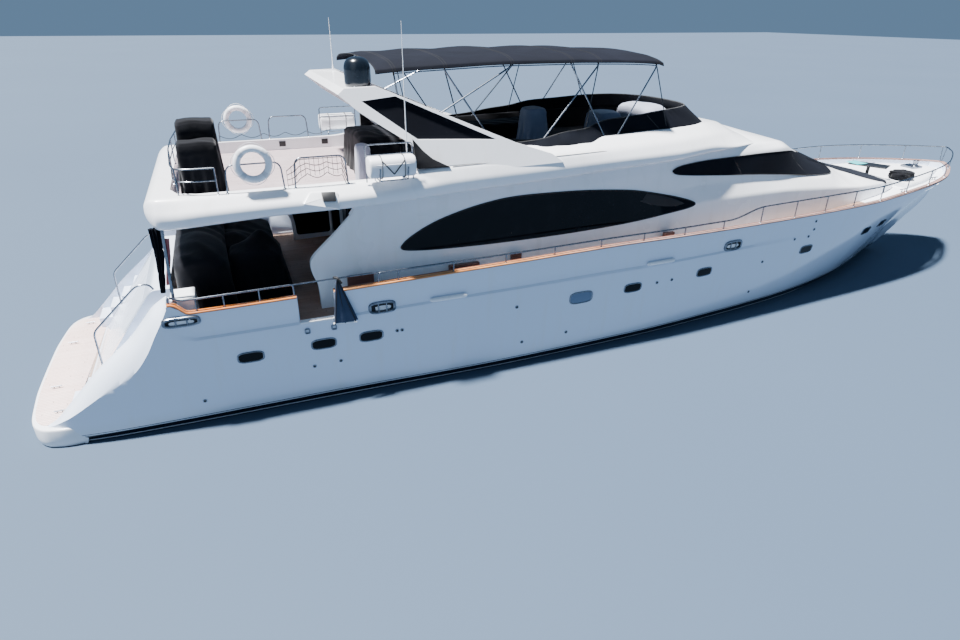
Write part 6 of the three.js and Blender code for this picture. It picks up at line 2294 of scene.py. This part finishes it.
@dataclass(frozen=True)
class Drape:
    """A cover thrown over something square: its box, how far the foot spreads, folds and lumps on top.

    lumps are (x part, y part, x spread, y spread, rise), all as parts of the box but the rise in metres.
    """

    name: str
    low: Point
    high: Point
    spread: float
    finish: Cloth
    seed: int
    slot: str
    stands_for: tuple[str, ...]
    fold: float = 0.03
    lumps: tuple[tuple[float, float, float, float, float], ...] = ()
    corner: float = 0.12
    crown: float = 0.05
    rests_on: str = "flybridge.shell"

    def points(self) -> Array:
        """Rows of a closed outline: inside the top they grow from the middle and rise to a crown and the
        lumps; down the skirt they spread, and fold as a sum of sines that deepens toward the foot."""
        centre = 0.5 * (np.array(self.low) + np.array(self.high))
        half = 0.5 * (np.array(self.high) - np.array(self.low))
        reach = half[:2] - self.spread
        square = np.array([[-1, -1], [1, -1], [1, 1], [-1, 1]], float) * reach
        square = soften(square, min(self.corner, 0.6 * reach.min()), 8, ring=True)
        plan = resample(np.concatenate([square, square[:1]]), 193)[:-1]
        s = distance(np.concatenate([plan, plan[:1]]))[:-1]
        around = 2 * math.pi * s / (s[-1] + s[1])
        out = unit(plan / reach**1.5)
        tops = np.linspace(0.02, 1, 26)
        inner = plan[None] * tops[:, None, None]
        nx, ny = inner[..., 0] / reach[0], inner[..., 1] / reach[1]
        dome = self.crown * (1 - 0.5 * (nx**2 + ny**2)) - 0.6 * self.crown
        roll = 0.06 * smooth(0.82, 1.0, tops)[:, None] ** 2
        lump = sum(h * np.exp(-(((nx - a) / c) ** 2 + ((ny - b) / d) ** 2)) for a, b, c, d, h in self.lumps)
        lump = lump + 0 * nx
        sagging = 0.014 * waves(self.seed + 9, 3.0 * inner[..., 0] + 4.0 * inner[..., 1], 6, 1.0, 4.0)
        lift = max([0.0] + [lump_row[4] for lump_row in self.lumps])
        z_top = self.high[2] - 0.6 * self.crown - lift + dome + lump - roll + sagging
        rim = z_top[-1]
        top = stack(centre[0] + inner[..., 0], centre[1] + inner[..., 1], np.minimum(z_top, self.high[2]))
        d = np.linspace(0, 1, 34)[1:, None]
        k = np.round(np.random.default_rng(self.seed).uniform(5, 17, 7))
        phase = np.random.default_rng(self.seed + 1).uniform(0, 2 * math.pi, 7)
        ripple = sum(np.sin(a * around + b + 0.9 * d) for a, b in zip(k, phase)) / math.sqrt(7)
        depth = self.fold * smooth(0.02, 0.8, d)
        flare = self.spread * (0.12 * smooth(0, 0.12, d) + 0.78 * d**1.3)
        move = flare + np.clip(depth * ripple, -self.spread * 0.5, self.spread * 0.45)
        skirt = plan[None] + move[..., None] * out[None]
        z = rim[None] + (self.low[2] - rim[None]) * (0.06 + 0.94 * d) - 0.02 * smooth(0, 0.05, d)
        down = stack(centre[0] + skirt[..., 0], centre[1] + skirt[..., 1], z)
        return np.concatenate([top, down])

    def build(self) -> None:
        """The cover as a thin sheet."""
        p = self.points()
        lid = np.arange(p.shape[1])[None, ::-1]
        skin = Surface().add(p, [quads(p), lid], closed=False)
        made = new_object(self.name, skin.mesh(self.name))
        face_up(made)
        settle(made, self.finish, self.slot, *self.stands_for, sharp=None, thickness=0.005)
        size = np.array(self.high) - np.array(self.low)
        flat = (float(size[0] + 2 * size[2]), float(size[1] + 2 * size[2]))
        whole = flat[0] * flat[1]
        area = float(np.clip(skin.area(), 0.31 * whole, whole))


@dataclass
class Covers:
    """All the cloth covers aboard."""

    items: tuple[Drape, ...] = (
        Drape(
            "cover.helm", (0.15, -1.15, 5.06), (1.2, 0.65, 6.02), 0.13, GREY_CLOTH, 21, "grey_cover",
            ("helm_cover",), 0.02, (), 0.3, 0.12
        ),
        Drape(
            "cover.bar", (-7.9, -1.5, 4.77), (-6.7, 0.9, 5.78), 0.10, BLACK_CLOTH, 22, "black_cover",
            ("bar_cover",), 0.022, ((-0.5, -0.3, 0.5, 0.5, 0.10),), 0.16, 0.05
        ),
        Drape(
            "cover.aft_near", (-11.69, -2.62, 4.77), (-10.82, -2.02, 6.02), 0.07, BLACK_CLOTH, 23,
            "black_cover", ("aft_cover",), 0.028, (), 0.07, 0.03
        ),
        Drape(
            "cover.aft_far", (-11.66, -2.16, 4.77), (-10.80, -1.48, 6.36), 0.07, BLACK_CLOTH, 33,
            "black_cover", (), 0.026, (), 0.08, 0.04
        ),
        Drape(
            "cover.console", (-0.95, -0.55, 5.05), (-0.02, 0.45, 5.82), 0.08, BLUE_GREY_CLOTH, 34,
            "grey_cover", (), 0.016, (), 0.2, 0.08
        ),
        Drape(
            "cover.stool", (-8.0, -1.72, 4.77), (-7.62, -1.34, 5.62), 0.03, GREY_CLOTH, 35, "grey_cover",
            (), 0.010, (), 0.18, 0.10
        ),
        Drape(
            "cover.helm_chair", (-3.3, -0.8, 4.97), (-2.5, 0.05, 6.08), 0.11, BLUE_GREY_CLOTH, 24,
            "grey_cover", ("helm_chair_cover",), 0.02, (), 0.25, 0.10
        ),
        Drape(
            "cover.lounge_starboard", (-5.9, -2.12, 4.97), (-3.0, -1.10, 5.48), 0.06, BLACK_CLOTH, 25,
            "black_cover", ("lounge_cover_starboard",), 0.016, ((-0.7, -0.5, 0.3, 0.6, 0.06),), 0.15, 0.05
        ),
        Drape(
            "cover.lounge_port", (-5.9, 1.10, 4.97), (-1.5, 2.12, 5.48), 0.06, BLACK_CLOTH, 26,
            "black_cover", ("lounge_cover_port",), 0.016, ((0.6, 0.5, 0.3, 0.6, 0.06),), 0.15, 0.05
        ),
        Drape(
            "cover.cockpit", (-12.1, -1.6, 2.17), (-9.75, 2.1, 3.52), 0.2, BLACK_CLOTH, 27, "black_cover",
            ("cockpit_cover",), 0.035,
            ((-0.45, -0.45, 0.35, 0.28, 0.22), (0.1, -0.35, 0.3, 0.3, 0.16), (0.2, 0.5, 0.5, 0.35, 0.18)),
            0.35, 0.16, "teak_deck",
        ),
        # These two covers also fill the dark cockpit under the overhang: partly black covers, partly painted
        # shade.
        Drape(
            "cover.cockpit_aft", (-12.25, -2.28, 2.17), (-11.0, 1.9, 3.9), 0.08, BLACK_CLOTH, 36,
            "black_cover", (), 0.035, ((0.0, -0.6, 0.8, 0.35, 0.16), (0.2, 0.5, 0.7, 0.4, 0.2)), 0.4, 0.3,
            "teak_deck"
        ),
        Drape(
            "cover.cockpit_fore", (-11.2, -1.9, 2.17), (-9.72, -0.5, 3.78), 0.16, BLACK_CLOTH, 37,
            "black_cover", (), 0.04, ((0.3, 0.1, 0.5, 0.6, 0.26),), 0.4, 0.3, "teak_deck"
        ),
    )

    def build(self) -> None:
        """Every cover."""
        for item in self.items:
            item.build()


@dataclass
class SternCloths:
    """The gathered mesh curtain and the furled flag beside the starboard pole, and the white corner box."""

    seed: int = 31

    def hanging(
        self, name: str, head: Sequence[float], foot: Sequence[float], radius: float, folds: int,
        finish: Finish, stands_for: tuple[str, ...] = ()
    ) -> None:
        """A gathered cloth: a pleated ring, whose radius swings with the angle, carried down a bowed line
        and narrowed at ties.

        Args:
            name: of the piece. head, foot: of the line. radius: of the ring. folds: pleats.
            finish: its cloth. stands_for: CAD nodes.
        """
        t = np.linspace(0, 1, 60)[:, None]
        a = np.linspace(0, 2 * math.pi, 120, endpoint=False)[None]
        line = np.array(head)[None] * (1 - t) + np.array(foot)[None] * t
        line[:, 0] += 0.02 * np.sin(math.pi * t[:, 0] * 1.3)
        tie = 1 - 0.12 * sum(np.exp(-(((t - c) / 0.03) ** 2)) for c in (0.33, 0.68))
        pleat = (
            0.72 + 0.28 * np.sin(folds * a + 1.1 * np.sin(4 * t + self.seed))
            + 0.05 * waves(self.seed, a * 2 + 6 * t, 5, 1, 3)
        )
        r = radius * tie * pleat * (1.35 - 0.75 * t)
        p = stack(
            line[:, None, 0] + r * np.cos(a), line[:, None, 1] + 0.62 * r * np.sin(a),
            line[:, None, 2] + 0 * a
        )
        slot = "screen_mesh" if stands_for else "navy_canvas"
        made = build(
            Surface().sheet(p, ring=True), name, finish, slot, *stands_for, sharp=None, thickness=0.003
        )

    def build(self) -> None:
        """Curtain, flag and box."""
        self.hanging(
            "stern_curtain.cloth", (-12.27, -2.89, 4.49), (-12.35, -2.90, 3.14), 0.085, 9, SCREEN_MESH,
            ("stern_curtain",)
        )
        self.hanging(
            "stern.flag", (-12.10, -2.97, 4.28), (-12.22, -3.04, 3.35), 0.05, 5, RED_CLOTH
        )
        self.boarding_net()
        self.lockers()
        box = Surface().block((-12.28, -3.02, 2.15), (-11.80, -2.40, 3.0), 0.05)
        build(box, "cockpit.corner_box", SUPERSTRUCTURE, "superstructure", bevel=0.02)

    def boarding_net(self) -> None:
        """A dark mesh bag hung from the rail beside the starboard gate: a cone of pleats flattened against
        the hull, on a white tube."""
        t = np.linspace(0, 1, 34)[:, None]
        a = np.linspace(0, 2 * math.pi, 72, endpoint=False)[None]
        wide = 0.035 + 0.215 * t**0.9
        pleat = 1 + 0.10 * np.sin(7 * a + 2.0 * t) * t
        x = -8.94 + 0.10 * t + wide * pleat * np.cos(a)
        y = -3.365 - 0.022 * t - (0.022 + 0.02 * t) * pleat * (np.sin(a) + 0.25)
        p = stack(x, y, 3.08 - 0.98 * t + 0 * a)
        skin = Surface().sheet(p, ring=True)
        made = build(skin, "gate.net", NET_CLOTH, "black_cover", sharp=None, thickness=0.003)
        tubes = Surface()
        tubes.tube([(-9.12, -3.40, 2.09), (-8.60, -3.42, 2.06)], 0.022)
        build(tubes, "gate.net_tube", WHITE_PLASTIC, "white_plastic")
        cord = Surface()
        for x0, x1 in ((-8.95, -9.08), (-8.93, -8.62), (-8.94, -8.86)):
            cord.tube([(x0, -3.40, 3.12), (x1, -3.425, 2.07)], 0.011, sides=6)
        cord.tube([(-8.99, -3.28, 3.13), (-8.93, -3.39, 3.15), (-8.86, -3.40, 3.02)], 0.03, 0.04, 8)
        build(cord, "gate.net_frame", RUBBER, "black_plastic")

    def lockers(self) -> None:
        """Low brown lockers along the side decks."""
        steps = Surface()
        for side in SIDES.values():
            for x0, x1, top in (
                (-8.62, -8.02, 2.90), (-6.17, -5.40, 2.83), (-4.53, -4.27, 2.92), (0.05, 0.37, 2.93)
            ):
                steps.block((x0, side * 2.70, top - 0.5), (x1, side * 2.82, top))
        build(steps, "side_deck.lockers", BROWN_TEAK, "varnished_teak", bevel=0.01)


@dataclass
class Foredeck:
    """The raised moulding, mat, table, windlass and gear."""

    hull: Hull
    moulding: tuple[Point, ...] = (
        (10.9, 1.75, 3.09), (12.3, 1.40, 3.11), (13.6, 0.76, 3.11), (14.3, 0.40, 3.09),
    )
    cleats: tuple[Spot, ...] = ((10.5, -1.92), (10.5, 1.92), (12.9, -1.27), (12.9, 1.27))

    def build(self) -> None:
        """Every piece ahead of the windshield."""
        table = np.array(self.moulding).T
        x = np.linspace(10.9, 14.3, 50)
        y, z = monotone(table[0], table[1], x), monotone(table[0], table[2], x)
        low = self.hull.deck("z", x) - 0.02
        half = np.stack(
            [stack(y + 0.02, low), stack(y, z - 0.05), stack(y - 0.1, z), stack(0.4 * y, z + 0.012)], 1
        )
        body = Surface().grid(rings(x, soften(across(half), 0.05, 4)))
        build(body, "foredeck.moulding", NON_SKID, "gelcoat", "foredeck_moulding", sharp=45)
        refine("foredeck_table", BLACK_PLASTIC, "black_plastic", 0.012)
        refine("windlass", STAINLESS, "stainless", 0.01)
        self.mat()
        self.bag()
        self.deck_cleats()
        self.table_cloth()

    def mat(self) -> None:
        """A charcoal cloth laid over the trunk: straight lines between its upper and lower edges, drawn
        onto the roof."""
        upper = np.array([[8.05, 0.05], [8.75, -0.22], [9.45, -0.62], [9.9, -1.02], [10.08, -1.45]])
        lower = np.array([[7.72, -0.70], [8.32, -1.04], [8.98, -1.41], [9.52, -1.63], [9.84, -1.72]])
        upper, lower = resample(upper, 60, True), resample(lower, 60, True)
        t = np.linspace(0, 1, 22)[:, None, None]
        plan = upper * (1 - t) + lower * t
        p = stack(plan[..., 0], plan[..., 1], np.full(plan.shape[:2], 4.4))
        made = new_object("foredeck.mat", Surface().sheet(p).mesh("foredeck.mat"))
        drop = made.modifiers.new("onto", "SHRINKWRAP")
        drop.target, drop.wrap_method, drop.offset = bpy.data.objects["deckhouse.shell"], "PROJECT", 0.012
        drop.use_project_z, drop.use_negative_direction, drop.use_positive_direction = True, True, False
        applied(made)
        face_up(made)
        settle(made, MAT_CLOTH, "black_cover", sharp=None, thickness=0.008)

    def bag(self) -> None:
        """A slumped bag: a squared ball, flat below, dented by a sum of sines."""
        u = np.linspace(0, 2 * math.pi, 72, endpoint=False)[None]
        v = np.linspace(-math.pi / 2, math.pi / 2, 40)[:, None]
        dent = 1 + 0.045 * waves(41, 3 * np.cos(u) * np.cos(v) + 2 * np.sin(v) + 2.4 * np.sin(u), 6, 0.8, 3.0)
        dent = dent + 0.03 * waves(43, 9 * np.cos(u) * np.cos(v) - 6 * np.sin(v) + 8 * np.sin(u), 6, 0.8, 2.0)
        p = stack(
            11.30 + 0.35 * power(np.cos(v), 0.5) * power(np.cos(u), 0.7) * dent,
            -1.15 + 0.34 * power(np.cos(v), 0.5) * power(np.sin(u), 0.7) * dent,
            3.25 + 0.155 * power(np.sin(v) + 0 * u, 0.6) * dent,
        )
        made = build(
            Surface().grid(p), "foredeck.bag", BLACK_CLOTH, "black_cover", "foredeck_bag", sharp=None
        )

    def deck_cleats(self) -> None:
        """Two pairs of cleats."""
        cleats = Surface()
        for x, y in self.cleats:
            z = self.hull.deck.at("z", x)
            for offset in (-0.07, 0.07):
                cleats.lathe(
                    [(0.022, 0.0), (0.022, 0.02), (0.013, 0.035), (0.013, 0.09)], (x + offset, y, z), 14
                )
            cleats.tube([(x - 0.17, y, z + 0.1), (x + 0.17, y, z + 0.1)], 0.017, sides=12)
        build(cleats, "foredeck.cleats", STAINLESS, "stainless")

    def table_cloth(self) -> None:
        """A small turquoise cloth laid on the table: a grid with slow waves."""
        (x0, _, _), (_, y1, top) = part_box("foredeck_table")
        u = np.linspace(x0 + 0.12, x0 + 0.62, 30)[:, None]
        v = np.linspace(y1 - 0.62, y1 - 0.08, 30)[None]
        z = top + 0.008 + 0.004 * np.sin(9 * u + 5 * v) ** 2
        p = stack(u + 0.1 * v, v, z)
        skin = Surface().sheet(p, turned=True)
        made = build(skin, "foredeck.cloth", TURQUOISE_CLOTH, "grey_cover", sharp=None, thickness=0.003)


@dataclass
class MovingParts:
    """Garage door and gates: rounded copies that ride on their own bodies."""

    def build(self) -> None:
        """Every moving part outside the deckhouse."""
        refine("garage_door", DOOR_PAINT_SHADE_TINTED, "gelcoat", 0.012, "garage_door")
        for name in SIDES:
            gate = f"gate_{name}"
            refine(gate, HULL_PAINT, "gelcoat", 0.008, gate)
            low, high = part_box(gate)
            middle, top = 0.5 * (low.y + high.y), high.z + 0.002
            latch = Surface().tube([(low.x + 0.1, middle, top), (high.x - 0.1, middle, top)], 0.012)
            build(latch, f"{gate}.bar", STAINLESS, "stainless", body=gate)


def finish_nodes() -> None:
    """Gives every CAD node a procedural material by its slot, in case it stays in view."""
    by_slot: dict[str, Finish] = {
        "gelcoat": GELCOAT, "superstructure": SUPERSTRUCTURE, "teak": DECK_TEAK, "varnished_teak": VARNISH,
        "dark_glass": GLASS, "screen_mesh": SCREEN_MESH, "navy_canvas": CANVAS, "black_cover": BLACK_CLOTH,
        "grey_cover": GREY_CLOTH, "navy_panel": PANEL, "black_plastic": BLACK_PLASTIC,
        "white_plastic": WHITE_PLASTIC, "stainless": STAINLESS, "bronze": BRONZE,
        "antifouled_metal": ANTIFOULED,
    }
    for name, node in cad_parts.items():
        slot = node.data.materials[0].name.split(".")[0] if node.data.materials else ""
        finish = by_slot.get(slot)
        if finish is None:
            LOG.info("node %s has slot %r", name, slot)
            continue
        node.data.materials[0] = finish.material


def main() -> None:
    """Builds the yacht, sub-assembly by sub-assembly."""
    logging.basicConfig(level=logging.INFO, format="%(message)s")
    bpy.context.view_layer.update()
    Studio().build()
    finish_nodes()
    hull, fly = Hull(), Flybridge()
    hull.build()
    HullFittings(hull).build()
    SwimPlatform().build()
    Caps(hull).build()
    Rails(hull).build()
    WheelhouseCover().build(Deckhouse().build())
    fly.build()
    ScreenCover(fly).build()
    Arch().build()
    FlyRails().build()
    Bimini().build()
    Covers().build()
    SternCloths().build()
    Foredeck(hull).build()
    MovingParts().build()


if __name__ == "__main__":
    main()
